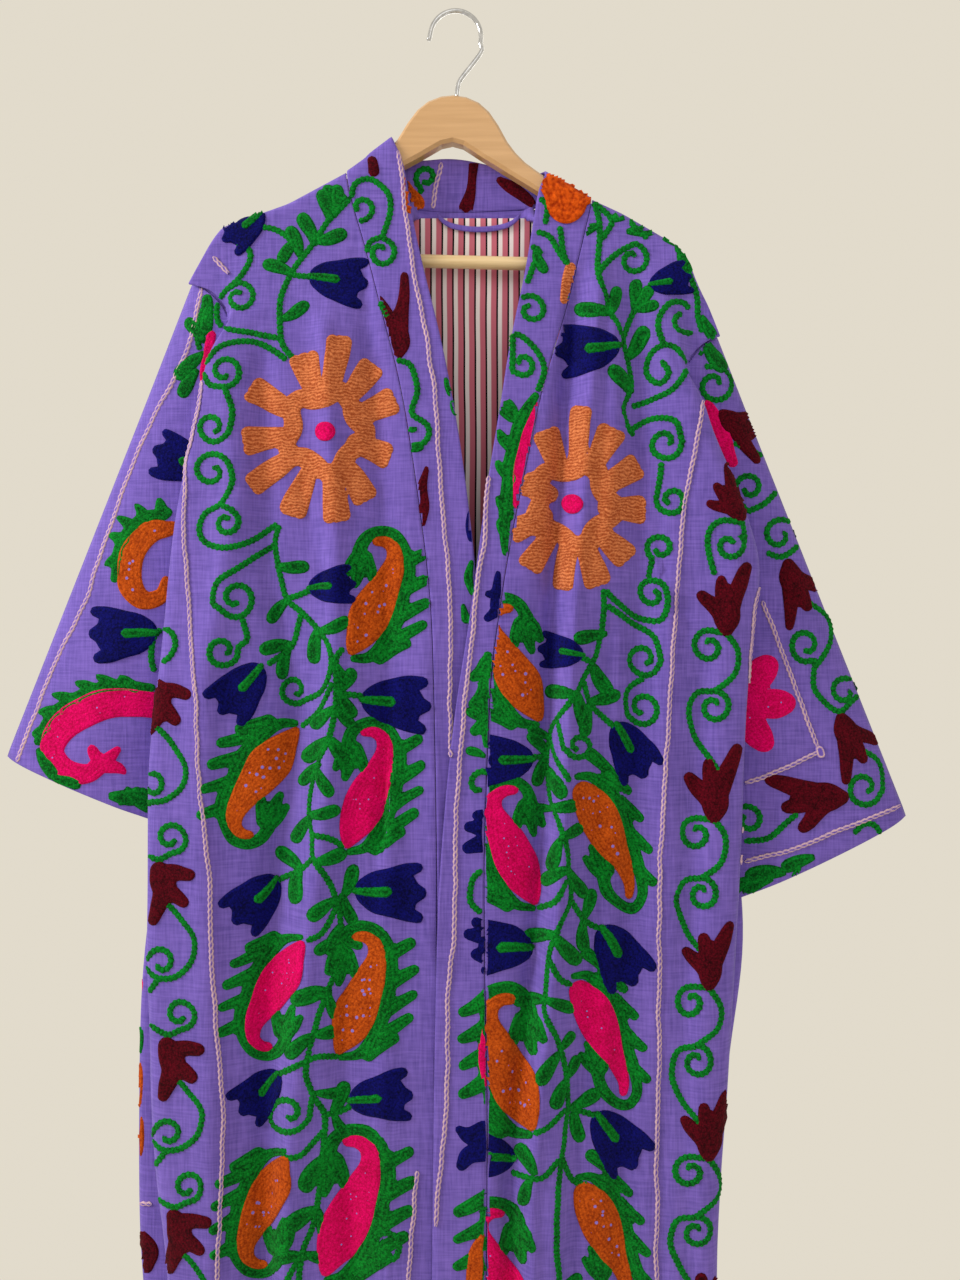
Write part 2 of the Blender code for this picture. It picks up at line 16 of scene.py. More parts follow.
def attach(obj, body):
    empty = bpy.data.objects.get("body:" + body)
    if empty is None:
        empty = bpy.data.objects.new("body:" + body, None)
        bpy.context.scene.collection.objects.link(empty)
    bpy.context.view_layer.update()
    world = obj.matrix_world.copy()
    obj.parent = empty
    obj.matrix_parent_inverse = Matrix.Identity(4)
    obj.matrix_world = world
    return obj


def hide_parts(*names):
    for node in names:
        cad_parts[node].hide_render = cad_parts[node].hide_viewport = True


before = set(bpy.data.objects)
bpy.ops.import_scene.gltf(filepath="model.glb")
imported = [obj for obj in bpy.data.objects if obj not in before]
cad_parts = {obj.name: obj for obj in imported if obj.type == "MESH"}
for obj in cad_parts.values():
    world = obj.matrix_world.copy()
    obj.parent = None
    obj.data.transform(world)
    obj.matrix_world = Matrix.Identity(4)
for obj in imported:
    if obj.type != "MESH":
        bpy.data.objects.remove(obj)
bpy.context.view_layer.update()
print("panels and parts:", ", ".join(sorted(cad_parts)))

# %% [markdown]
# ## Camera
#
# The jacket is seen straight on, from less than a metre away, so the lens is wide and the sleeves
# are seen a little from inside. One millimetre on the cloth is about one pixel of the picture.
# The camera's place and its focal length in pixels are used later to put a motif on the cloth at a
# place in the picture. The back is drawn on from straight behind, at one scale all over.

# %% Camera
EYE_PLACE = (0.0226, -0.905, -0.596)
EYE = Vector(EYE_PLACE)
FOCAL = 960.0
PICTURE = (960, 1280)
MIDDLE = (PICTURE[0] / 2, PICTURE[1] / 2)
SENSOR = 36
BACK_PIXEL = 0.00093  # metres of the back for one pixel of the picture


def show(name, data):
    """A new object in the scene."""
    made = bpy.data.objects.new(name, data)
    bpy.context.scene.collection.objects.link(made)
    return made


camera_data = bpy.data.cameras.new("camera")
camera_data.sensor_width = SENSOR
camera_data.lens = SENSOR * FOCAL / PICTURE[1]
camera = show("camera", camera_data)
camera.location = EYE
camera.rotation_euler = (math.pi / 2, 0, 0)
bpy.context.scene.camera = camera


def line_of_sight(spot):
    """Start and direction of the line through a place in the picture."""
    right, down = spot[0] - MIDDLE[0], spot[1] - MIDDLE[1]
    return EYE, Vector((right, FOCAL, -down)).normalized()


def line_from_behind(spot):
    """The same for the back: the place is counted as if the back were laid over the front."""
    x = EYE_PLACE[0] + (spot[0] - MIDDLE[0]) * BACK_PIXEL
    z = EYE_PLACE[2] - (spot[1] - MIDDLE[1]) * BACK_PIXEL
    return Vector((x, 0.3, z)), Vector((0, -1, 0))


print("focal length", round(camera_data.lens, 2), "mm")

# %% [markdown]
# ## Colours and shader nodes
#
# Dyes are written as sRGB hex values, as a colour picker shows them. Shaders work in linear light,
# so one function turns one into the other. One small helper adds a node with its settings and
# links, which keeps each recipe below short enough to read.


# %% Helpers for materials
def linear(hex_value):
    parts = [int(hex_value[i : i + 2], 16) / 255 for i in (0, 2, 4)]
    parts = [c / 12.92 if c <= 0.04045 else ((c + 0.055) / 1.055) ** 2.4 for c in parts]
    return (*parts, 1.0)


def feed(material, node, values):
    """Gives inputs a number, a colour, an output to link from, or a node, for its first output."""
    for key, value in values.items():
        if isinstance(value, bpy.types.Node):
            value = value.outputs[0]
        if isinstance(value, bpy.types.NodeSocket):
            material.node_tree.links.new(value, node.inputs[key])
        else:
            node.inputs[key].default_value = value


def new_material(name, **sockets):
    """A Principled material; numbers that are the same all over are set on its own sockets."""
    made = bpy.data.materials.new(name)
    made.use_nodes = True
    shader = made.node_tree.nodes["Principled BSDF"]
    feed(made, shader, {key.replace("_", " "): value for key, value in sockets.items()})
    return made, shader


def add(material, kind, values=None, stops=(), **settings):
    """Adds a node. The stops of a ramp are a place and a hex colour each."""
    node = material.node_tree.nodes.new("ShaderNode" + kind)
    for key, value in settings.items():
        setattr(node, key, value)
    if stops:
        elements = node.color_ramp.elements
        while len(elements) < len(stops):
            elements.new(0.5)
        for element, (at, hex_value) in zip(elements, stops):
            element.position, element.color = at, linear(hex_value)
    feed(material, node, values or {})
    return node


# %% [markdown]
# ## Cotton
#
# The cloth is a plain-woven cotton, dyed violet. Its threads are about half a millimetre apart,
# which is finer than a pixel, so they are drawn 1.5 mm apart. Slubs, the thick places in a
# hand-spun thread, run along the weft and the warp and catch the light. Cotton has no gloss; a
# little sheen stands for its fine fuzz.


# %% Cotton material
THREAD_SCALES = ((670, 40, 55), (55, 40, 670))
SLUB_SCALES = ((42, 42, 760), (760, 42, 42))


def cotton(name, dark, light):
    made, shader = new_material(
        name, Roughness=0.88, Sheen_Weight=0.1, Sheen_Roughness=0.5, Specular_IOR_Level=0.2
    )
    place = add(made, "TexCoord").outputs["Object"]
    sums = []
    for scales, detail in ((THREAD_SCALES, 0.0), (SLUB_SCALES, 2.0)):
        ways = []
        for scale in scales:
            way = add(made, "Mapping", {"Vector": place, "Scale": scale})
            ways.append(add(made, "TexNoise", {"Vector": way, "Scale": 1.0, "Detail": detail}))
        sums.append(add(made, "Math", {0: ways[0], 1: ways[1]}, operation="ADD"))
    weave, slubs = sums
    worn = add(made, "TexNoise", {"Vector": place, "Scale": 14.0, "Detail": 4.0})
    grain = add(made, "Math", {0: slubs, 1: 0.45, 2: weave}, operation="MULTIPLY_ADD")
    tint = add(made, "Math", {0: worn, 1: 0.7, 2: grain}, operation="MULTIPLY_ADD")
    span = add(made, "MapRange", {"Value": tint, "From Min": 1.1, "From Max": 2.5})
    colour = add(made, "ValToRGB", {"Fac": span}, ((0.0, dark), (1.0, light)))
    bump = add(made, "Bump", {"Height": weave, "Strength": 0.3, "Distance": 0.0004})
    feed(made, shader, {"Base Color": colour, "Normal": bump})
    return made


violet_cotton = cotton("violet_cotton", "5A489E", "7D64C6")
print("made", violet_cotton.name)

# %% [markdown]
# ## Striped lining
#
# The lining is a striped shirting. The stripes run down the back: pink, black and white, one
# repeat each 10.5 mm. They are woven of dyed threads, so their edges are straight but not sharp.

# %% Lining material
REPEAT = 0.0105
WHITE, PINK, BLACK = "EADFE2", "C4687C", "0E0A10"
STRIPES = ((0.0, WHITE), (0.32, WHITE), (0.4, PINK), (0.82, PINK), (0.86, BLACK), (0.985, BLACK))

striped_lining, shader = new_material(
    "striped_lining", Roughness=0.9, Sheen_Weight=0.05, Specular_IOR_Level=0.2
)
place = add(striped_lining, "TexCoord").outputs["Object"]
side = add(striped_lining, "SeparateXYZ", {"Vector": place}).outputs["X"]
wobble = add(striped_lining, "TexNoise", {"Vector": place, "Scale": 6.0})
across = add(striped_lining, "Math", {0: wobble, 1: 0.004, 2: side}, operation="MULTIPLY_ADD")
count = add(striped_lining, "Math", {0: across, 1: REPEAT}, operation="DIVIDE")
share = add(striped_lining, "Math", {0: count}, operation="FRACT")
colour = add(striped_lining, "ValToRGB", {"Fac": share}, STRIPES)
grain = add(striped_lining, "Mapping", {"Vector": place, "Scale": (620, 24, 24)})
fibres = add(striped_lining, "TexNoise", {"Vector": grain, "Scale": 1.0, "Detail": 1.0})
bump = add(striped_lining, "Bump", {"Height": fibres, "Strength": 0.3, "Distance": 0.0004})
feed(striped_lining, shader, {"Base Color": colour, "Normal": bump})
print("made", striped_lining.name, "with a repeat of", REPEAT * 1000, "mm")

# %% [markdown]
# ## Wool thread
#
# The embroidery is thick wool worked in rows of chain stitch, so a filled shape is ribbed and
# grainy, and its rows follow its outline. The ribs are in the mesh; the grain of each loop, about
# 2.5 mm long, is a bump, and its colour is painted lighter on the hills and darker in the hollows,
# as painted shade. The mesh carries two attributes: the first is 1 on the crest of a row and 0
# between two rows, where painted shade darkens the colour (in the pale thread's open loops that
# low end is the cloth showing through), and deep grows from 0 at the outline to 1 well inside. The
# orange wool is worked loosely, so spots of the cloth show in the middle of each shape.


# %% Thread material
LOOPS, FUZZ, PATCHES, LINES, HOLES = 420, 850, 60, 104, 150  # how many to a metre, about
CLOTH_BELOW = "8A74CC"


def wool(name, dark, light, rows=0.25, coarse=1.0, loose=0.0, across=0.0):
    """Rows and across: how much darker the colour is painted between rows, as painted shade. Coarse: the size
    of the loops.
    Loose: how much cloth shows."""
    made, shader = new_material(name, Roughness=0.95, Sheen_Weight=0.03, Specular_IOR_Level=0.08)
    place = add(made, "TexCoord").outputs["Object"]
    loops = add(made, "TexVoronoi", {"Vector": place, "Scale": LOOPS / coarse})
    fuzz = add(made, "TexNoise", {"Vector": place, "Scale": FUZZ / coarse, "Detail": 3.0})
    patchy = add(made, "TexNoise", {"Vector": place, "Scale": PATCHES, "Detail": 1.0})
    # Painted shade: this attribute darkens the colour between rows and at the pinches of the links; in the
    # pale thread's open loops its low end is the cloth showing through.
    painted_shade_and_cloth_gap = add(made, "Attribute", attribute_name="painted_shade_and_cloth_gap").outputs["Fac"]
    wavy = {"Vector": place, "Scale": LINES, "Distortion": 9.0, "Detail": 3.0}
    lines = add(made, "TexWave", wavy, bands_direction="Z").outputs["Fac"]
    # The colour takes the same fuzz and loops as the bump, so it is lighter on the hills and darker in the
    # hollows between loops: painted shade, over a random patchy tone.
    tone_and_painted_shade, hills = fuzz, fuzz
    for part, weight in ((painted_shade_and_cloth_gap, rows), (loops, -0.4), (patchy, 0.35), (lines, across)):
        tone_and_painted_shade = add(made, "Math", {0: part, 1: weight, 2: tone_and_painted_shade}, operation="MULTIPLY_ADD")
    for part, weight in ((loops, -0.8), (lines, 2 * across)):
        hills = add(made, "Math", {0: part, 1: weight, 2: hills}, operation="MULTIPLY_ADD")
    low, high = 0.22 + 0.5 * (rows + across), 0.72 + rows + across
    span = add(made, "MapRange", {"Value": tone_and_painted_shade, "From Min": low, "From Max": high})
    colour = add(made, "ValToRGB", {"Fac": span}, ((0.0, dark), (1.0, light)))
    if loose:
        cells = add(made, "TexVoronoi", {"Vector": place, "Scale": HOLES})
        inside = add(made, "Attribute", attribute_name="deep").outputs["Fac"]
        hole = add(made, "Math", {0: inside, 1: loose}, operation="MULTIPLY")
        some = add(made, "Math", {0: cells, 1: hole}, operation="LESS_THAN")
        mixed = add(made, "Mix", {0: some, 6: colour, 7: linear(CLOTH_BELOW)}, data_type="RGBA")
        colour = mixed.outputs[2]
    bump = add(made, "Bump", {"Height": hills, "Strength": 0.6, "Distance": 0.0007 * coarse})
    feed(made, shader, {"Base Color": colour, "Normal": bump})
    return made


threads = {
    "green": wool("green_wool", "003A0E", "0A8E2C", rows=0.22),
    "peach": wool("peach_wool", "9E4A26", "E88C58", rows=0.15, coarse=1.1, across=0.4),
    "orange": wool("orange_wool", "8A3006", "CE5A14", rows=0.14, coarse=1.25, loose=0.23),
    "bright": wool("bright_orange_wool", "962A00", "E85F10", rows=0.12, coarse=2.6),
    "pink": wool("pink_wool", "A8003E", "EA006C", rows=0.1, loose=0.12),
    "navy": wool("navy_wool", "02022E", "0C0E6E", rows=0.1),
    "maroon": wool("maroon_wool", "260006", "600418", rows=0.1),
    "pale": wool("pale_thread", "6E56B8", "ECC6BA", rows=1.6, coarse=0.8),
}
thread_order = list(threads)
print("threads:", ", ".join(thread_order))

# %% [markdown]
# ## Lacquered wood and chromed wire
#
# The hanger is pale beech under clear lacquer: the grain runs along the arms, fine and low in
# contrast, and the coat gives the highlight. The hook is chromed steel wire, which is a mirror, so
# it shows what is round it.


# %% Hanger materials
def lacquered(name, dark, light):
    made, shader = new_material(name, Roughness=0.38, Coat_Weight=0.7, Coat_Roughness=0.14)
    place = add(made, "TexCoord").outputs["Object"]
    along = add(made, "Mapping", {"Vector": place, "Scale": (14, 160, 260)})
    grain = add(made, "TexNoise", {"Vector": along, "Scale": 1.0, "Detail": 4.0})
    colour = add(made, "ValToRGB", {"Fac": grain}, ((0.3, dark), (0.7, light)))
    bump = add(made, "Bump", {"Height": grain, "Strength": 0.08, "Distance": 0.0003})
    feed(made, shader, {"Base Color": colour, "Normal": bump})
    return made


lacquered_wood = lacquered("lacquered_beech", "C0935E", "CDA06C")
pale_wood = lacquered("lacquered_beech_bar", "D2B07C", "EBD0A0")
chrome_wire, shader = new_material("chromed_steel", Roughness=0.14, Metallic=1.0)
place = add(chrome_wire, "TexCoord").outputs["Object"]
scuffs = add(chrome_wire, "TexNoise", {"Vector": place, "Scale": 260.0, "Detail": 3.0})
colour = add(chrome_wire, "ValToRGB", {"Fac": scuffs}, ((0.3, "B9BABD"), (0.7, "DCDDE0")))
feed(chrome_wire, shader, {"Base Color": colour})
print("hanger finishes:", lacquered_wood.name, pale_wood.name, chrome_wire.name)

# %% [markdown]
# ## From solid panels to soft cloth
#
# Each panel of the model is a wall of true thickness but with few, flat faces. A copy of it is
# merged and its triangles are joined into quads, because a subdivision surface rounds quads
# evenly. Sharp rims are marked so that they stay where they are and the seams stay closed.

# %% Copy a panel and round it
SAME_PLACE = 0.00002  # metres
FLAT_PAIR, SQUARE_ENOUGH, RIM = 1.2, 2.6, 1.0  # angles in radians


def mesh_of(bm, name):
    """Turns a bmesh into a mesh and frees it."""
    mesh = bpy.data.meshes.new(name)
    bm.to_mesh(mesh)
    bm.free()
    return mesh


def soft_copy(name, rounds):
    """A merged copy of a CAD node, rounded by subdivision, as a new object."""
    bm = bmesh.new()
    bm.from_mesh(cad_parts[name].data)
    bmesh.ops.remove_doubles(bm, verts=bm.verts, dist=SAME_PLACE)
    bmesh.ops.join_triangles(
        bm, faces=bm.faces, angle_face_threshold=FLAT_PAIR, angle_shape_threshold=SQUARE_ENOUGH
    )
    marks = bm.edges.layers.float.new("crease_edge")
    for edge in bm.edges:
        if len(edge.link_faces) == 2 and edge.calc_face_angle(0) > RIM:
            edge[marks] = 0.9
    piece = show(name + "_cloth", mesh_of(bm, name + "_cloth"))
    rounding = piece.modifiers.new("rounding", "SUBSURF")
    rounding.levels = rounding.render_levels = rounds
    seen = piece.evaluated_get(bpy.context.evaluated_depsgraph_get())
    piece.data = bpy.data.meshes.new_from_object(seen)
    piece.modifiers.clear()
    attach(piece, "root")
    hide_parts(name)
    return piece


def smooth(mesh):
    for face in mesh.polygons:
        face.use_smooth = True


def finish_with(piece, look):
    piece.data.materials.clear()
    piece.data.materials.append(look)
    smooth(piece.data)


PANELS = ("back_panel", "front_left", "front_right", "sleeve_left", "sleeve_right", "collar_band")
cloth = {name: soft_copy(name, 2) for name in (*PANELS, "back_lining")}
cloth["hanging_loop"] = soft_copy("hanging_loop", 1)
for name, piece in cloth.items():
    if name == "back_lining":
        finish_with(piece, striped_lining)
    else:
        finish_with(piece, violet_cotton)
    print(name, len(piece.data.polygons), "faces")
finish_with(soft_copy("hanger_hook", 2), chrome_wire)
finish_with(soft_copy("hanger_bar", 1), pale_wood)
wooden_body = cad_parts["hanger_body"]
wooden_body.data.materials.clear()
wooden_body.data.materials.append(lacquered_wood)

# %% [markdown]
# ## Creases
#
# A hanging jacket falls in long soft folds from the points that carry it. The widest are in the
# model. The smaller ones are put in here, one by one: each is a half width in pixels, a height in
# millimetres, above the cloth for a ridge and below it for a trough, and a line of places in the
# picture. No two are alike in length, depth or spacing. The hidden back gets similar ones.

# %% Where the creases are
FRONT_CREASES = (
    (13, 3.0, ((213, 305), (235, 505), (205, 675), (205, 860), (215, 1290))),
    (12, -6.0, ((262, 335), (266, 560), (298, 712), (280, 860), (268, 980), (266, 1156), (256, 1420))),
    (7, -4.0, ((272, 990), (268, 1100), (264, 1260), (258, 1420))),
    (11, 6.5, ((322, 305), (336, 560), (330, 749), (312, 900), (296, 1045), (286, 1200), (280, 1420))),
    (9, -4.5, ((358, 201), (370, 360), (384, 534), (388, 700), (380, 860))),
    (11, -5.0, ((352, 790), (348, 930), (340, 1060), (350, 1220), (362, 1420))),
    (10, 4.0, ((392, 760), (388, 930), (384, 1100), (392, 1420))),
    (7, 2.6, ((346, 560), (352, 640), (350, 720))),
    (6, -2.4, ((300, 470), (312, 540), (330, 600))),
    (8, -9.0, ((577, 268), (562, 430), (553, 564), (549, 700), (541, 860), (532, 960), (520, 1060),
     (508, 1170), (512, 1420))),
    (9, 7.5, ((600, 253), (588, 420), (574, 593), (568, 720), (561, 860), (552, 971), (540, 1080),
     (530, 1200), (534, 1420))),
    (10, -4.0, ((604, 620), (600, 760), (592, 900), (580, 1040), (572, 1180), (570, 1420))),
    (12, -5.5, ((632, 246), (640, 420), (638, 600), (634, 786), (622, 1000), (618, 1200), (622, 1420))),
    (8, 3.2, ((612, 300), (616, 420), (606, 560))),
    (10, 3.0, ((676, 312), (700, 420), (738, 519), (728, 640))),
    (12, 4.5, ((668, 560), (664, 800), (652, 1000), (646, 1200), (650, 1420))),
    (12, -4.5, ((704, 640), (694, 860), (686, 1060), (690, 1420))),
    (7, -2.6, ((654, 480), (662, 560), (690, 640))),
    (6, -2.6, ((612, 238), (640, 243), (676, 256))),
    (6, 1.8, ((640, 258), (668, 272), (690, 300))),
    (7, -1.8, ((672, 282), (688, 318), (700, 372))),
    (6, -1.6, ((236, 262), (250, 284), (252, 318))),
    (5, -1.2, ((560, 770), (600, 776), (640, 765))),
    (7, 1.5, ((420, 640), (436, 780), (430, 960))),
)
SLEEVE_CREASES = (
    (18, 2.2, ((186, 330), (128, 500), (62, 690))),
    (12, -2.6, ((200, 440), (160, 560), (128, 690), (120, 790))),
    (7, -1.8, ((60, 640), (70, 700), (52, 770))),
    (7, 1.6, ((100, 600), (96, 690), (84, 780))),
    (16, 2.2, ((742, 400), (790, 560), (852, 740))),
    (11, -2.6, ((762, 600), (796, 700), (830, 820))),
    (7, 1.8, ((760, 700), (770, 790), (800, 860))),
    (6, -1.5, ((836, 640), (852, 710), (880, 800))),
)
BACK_CREASES = (
    (16, 3.0, ((180, 300), (205, 600), (190, 1420))),
    (13, -3.5, ((262, 280), (280, 700), (250, 1420))),
    (15, 3.5, ((352, 260), (340, 800), (330, 1420))),
    (12, -4.0, ((430, 300), (436, 700), (420, 1420))),
    (14, 3.5, ((520, 260), (512, 900), (505, 1420))),
    (12, -3.5, ((604, 300), (590, 760), (600, 1420))),
    (15, 3.0, ((690, 330), (680, 800), (676, 1420))),
)
print("creases:", len(FRONT_CREASES) + len(SLEEVE_CREASES) + len(BACK_CREASES))

# %% [markdown]
# ## Moving the cloth
#
# A sculptor would draw these folds with a brush. Here each vertex is moved in or out by the folds
# that it is near, along a bell curve that fades at both ends of the fold. Only what lies more than
# 11 mm out from the middle plane moves, so the seams stay closed. A slow noise makes it uneven.


# %% Creases
FADE = 2.2  # half widths, at each end of a fold
UNEVEN = 0.0012
STILL, GROWING = 0.011, 0.012  # metres out from the middle plane: unmoved, then more and more


def crease(piece, folds, toward):
    """Moves the outer part of a piece in or out along the folds. Toward is -1 for the front."""
    count = len(piece.data.vertices)
    spots = np.empty(count * 3)
    piece.data.vertices.foreach_get("co", spots)
    spots = spots.reshape(-1, 3)
    scale = FOCAL / (spots[:, 1] - EYE.y) if toward < 0 else np.full(count, 1 / BACK_PIXEL)
    right, down = (spots[:, 0] - EYE.x) * scale, (spots[:, 2] - EYE.z) * scale
    seen = np.stack([MIDDLE[0] + right, MIDDLE[1] - down], 1)
    moved = np.zeros(count)
    for half, height, line in folds:
        line = np.array(line, float)
        ends = [np.linalg.norm(seen - end, axis=1) for end in (line[0], line[-1])]
        fade = np.clip(np.minimum(*ends) / (FADE * half), 0, 1)
        for a, b in zip(line, line[1:]):
            along = b - a
            share = np.clip(((seen - a) @ along) / (along @ along), 0, 1)
            away = np.linalg.norm(seen - a - share[:, None] * along, axis=1)
            push = height / 1000 * np.exp(-((away / half) ** 2)) * fade
            moved = np.where(np.abs(push) > np.abs(moved), push, moved)
    for i, (x, _, z) in enumerate(spots):
        moved[i] += UNEVEN * noise.noise((x * 26, toward * 3.0, z * 15))
    outer = np.clip((toward * spots[:, 1] - STILL) / GROWING, 0, 1)
    spots[:, 1] += toward * moved * outer
    piece.data.vertices.foreach_set("co", spots.ravel())
    piece.data.update()


for folds, toward, names in (
    (FRONT_CREASES, -1, ("front_left", "front_right", "collar_band")),
    (SLEEVE_CREASES, -1, ("sleeve_left", "sleeve_right")),
    (BACK_CREASES, 1, ("back_panel",)),
):
    for name in names:
        crease(cloth[name], folds, toward)
surface = {}
for name in cloth:
    bm = bmesh.new()
    bm.from_mesh(cloth[name].data)
    surface[name] = BVHTree.FromBMesh(bm)
    bm.free()
print("surfaces ready to sew on:", len(surface))

# %% [markdown]
# ## Seam allowances
#
# Two panels sewn together leave a narrow strip of cloth behind the seam. It closes the seam: where
# the sleeves hang from the shoulders, where a front meets the band, and where the band meets the
# lining, nothing may shine through. Each strip is a net that takes its depth from the panels just
# in front of it; over the open seam itself the depth is averaged from the places beside it.

# %% Strips behind the seams
NET = 4  # pixels between two threads of the net
ROUNDS = 40


def strip_behind(name, panels, box, farthest, back=0.004):
    """A strip behind two panels, within a box of the picture: left, top, right, bottom."""
    left, top, right, bottom = box
    across, down = round((right - left) / NET), round((bottom - top) / NET)
    bm = bmesh.new()
    bmesh.ops.create_grid(bm, x_segments=across, y_segments=down, size=0.5)
    depth = {}
    for vert in bm.verts:
        spot = (left + (vert.co.x + 0.5) * (right - left), top + (0.5 - vert.co.y) * (bottom - top))
        start, way = line_of_sight(spot)
        reach = None
        for panel in panels:
            where, _, _, far = surface[panel].ray_cast(start, way)
            if where is not None and where.y < farthest and (reach is None or far < reach):
                reach = far
        depth[vert] = reach
        vert.co = way
    known = [far for far in depth.values() if far is not None]
    level = {vert: far or sum(known) / len(known) for vert, far in depth.items()}
    for _ in range(ROUNDS):
        for vert, far in depth.items():
            if far is None:
                near = [edge.other_vert(vert) for edge in vert.link_edges]
                level[vert] = sum(level[other] for other in near) / len(near)
    for vert in bm.verts:
        vert.co = EYE + vert.co * (level[vert] + back)
    piece = show(name, mesh_of(bm, name))
    thick = piece.modifiers.new("thickness", "SOLIDIFY")
    thick.thickness, thick.offset = 0.0008, 0
    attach(piece, "root")
    finish_with(piece, violet_cotton)
    print(name, "open places closed:", sum(far is None for far in depth.values()))


strip_behind("seam_strip_left", ("front_left", "sleeve_left"), (200, 284, 234, 322), 0.02)
strip_behind("seam_strip_right", ("front_right", "sleeve_right"), (682, 338, 708, 374), 0.02)
strip_behind("seam_strip_front", ("front_right", "collar_band"), (558, 204, 594, 330), 0.02)
strip_behind("seam_strip_neck", ("collar_band", "back_lining"), (410, 202, 534, 222), 0.06, 0.002)

# %% [markdown]
# ## How a motif is drawn
#
# Every leaf, petal and vine is drawn as strokes: a few points, each with a half width, joined by
# a smooth line. For a filled shape a net of small squares is laid over its strokes, and each
# point of the net is raised by how far it is inside the shape, like a hill. Level planes cut the
# hill: the lowest cuts off what is outside, and the others cut the net along the rows of chain
# stitch, which therefore follow the outline as the real ones do.

# %% Strokes and rows
ROW = 3.8  # width of one row of stitches, in pixels of the picture: 3.5 mm


def smooth_line(points, step):
    """Points evenly spaced along a smooth line through the given ones."""
    points = np.array(points, float)
    if len(points) > 2:
        ends = np.vstack([2 * points[0] - points[1], points, 2 * points[-1] - points[-2]])
        t = np.linspace(0, 1, 10, endpoint=False)[:, None]
        spans = []
        for a, b, c, d in zip(ends, ends[1:], ends[2:], ends[3:]):
            bend, twist = 2 * a - 5 * b + 4 * c - d, 3 * b - a - 3 * c + d
            spans.append(0.5 * (2 * b + (c - a) * t + bend * t**2 + twist * t**3))
        points = np.vstack(spans + [points[-1:]])
    steps = np.linalg.norm(np.diff(points[:, :2], axis=0), axis=1)
    run = np.concatenate([[0], np.cumsum(steps)])
    at = np.linspace(0, run[-1], max(2, int(round(run[-1] / step)) + 1))
    return np.stack([np.interp(at, run, points[:, k]) for k in range(points.shape[1])], 1)


def draw_pad(strokes, cell=3.4):
    """A net over the strokes, cut off at their edge and along each row. Its z is the depth inside."""
    lines = [smooth_line(stroke, 1.8) for stroke in strokes]
    every = np.vstack(lines)
    low = (every[:, :2] - every[:, 2:3]).min(0) - 2
    high = (every[:, :2] + every[:, 2:3]).max(0) + 2
    across, down = (max(2, math.ceil(size / cell)) for size in high - low)
    bm = bmesh.new()
    bmesh.ops.create_grid(bm, x_segments=across, y_segments=down, size=0.5)
    spots = low + (np.array([v.co[:2] for v in bm.verts]) + 0.5) * (high - low)
    depth = np.full(len(spots), -99.0)
    for line in lines:
        gap = np.linalg.norm(spots[:, None] - line[None, :, :2], axis=2)
        depth = np.maximum(depth, (line[:, 2] - gap).max(1))
    for vert, (x, y), deep in zip(bm.verts, spots, depth):
        vert.co = (x, y, deep)
    level = 0.0
    while level < depth.max():
        bmesh.ops.bisect_plane(
            bm,
            geom=bm.verts[:] + bm.edges[:] + bm.faces[:],
            dist=0.02,
            plane_co=(0, 0, level),
            plane_no=(0, 0, 1),
            clear_inner=level == 0,
        )
        level += ROW / 2
    return mesh_of(bm, "drawn_pad")


def spiral(x, y, radius, start, turns):
    """A curl that winds in round a place. Start is in degrees clockwise from the top."""
    points = []
    for k in range(13):
        t = k / 12
        a = math.radians(start + 360 * turns * 0.82 * t)
        reach = (radius + 1) * (1 - t) ** 0.7 + 3.0 * t
        points.append((x + reach * math.sin(a), y - reach * math.cos(a)))
    return points


print("a row of stitches is", ROW, "pixels wide")

# %% [markdown]
# ## Sewing on the cloth
#
# A motif is put on by sending a line of sight through each of its points. Where the line meets
# the panel, the point is set on the cloth and lifted off it by the height of the stitches. A point
# that misses the panel is dropped, so a motif stops at a seam or a folded edge as it does on the
# real jacket, where the cloth was embroidered first and cut afterwards.

# %% Hoop and needle
noise.seed_set(5)  # without a seed the shifts below would be others in each run
stitched = {}


def hoop(piece, panels, aim=line_of_sight):
    """Says which panels are sewn on, and from which side."""
    stitched.setdefault(piece, bmesh.new())
    return {"piece": piece, "panels": panels, "aim": aim}


def touch(on, spot):
    start, way = on["aim"](spot)
    best = None
    for name in on["panels"]:
        where, normal, _, far = surface[name].ray_cast(start, way)
        if where is not None and (best is None or far < best[2]):
            best = (where, normal if normal.dot(way) < 0 else -normal, far)
    return best


def hand_drawn(x, y):
    """No shape is drawn twice quite the same, so each place is shifted a little."""
    shift = noise.noise_vector((x / 26, y / 26, 1.7))
    return x + 1.7 * shift.x, y + 1.7 * shift.y


def keep(on, bm, colour):
    """Adds finished stitches to their piece, in their colour."""
    for face in bm.faces:
        face.material_index = thread_order.index(colour)
    mesh = mesh_of(bm, "stitches")
    stitched[on["piece"]].from_mesh(mesh)
    bpy.data.meshes.remove(mesh)


# %% [markdown]
# ## Filled shapes
#
# A pad is thickest inside and comes down to the cloth at its rim, just under its surface, so that
# no light passes below it. Long edges are left where part of a shape fell past a seam; they go.

# %% Sew a pad
PAD_HEIGHT, SUNK, RIB_HEIGHT = 0.0012, 0.0002, 0.0003
LONGEST = 0.013  # metres; an edge above this spans a gap


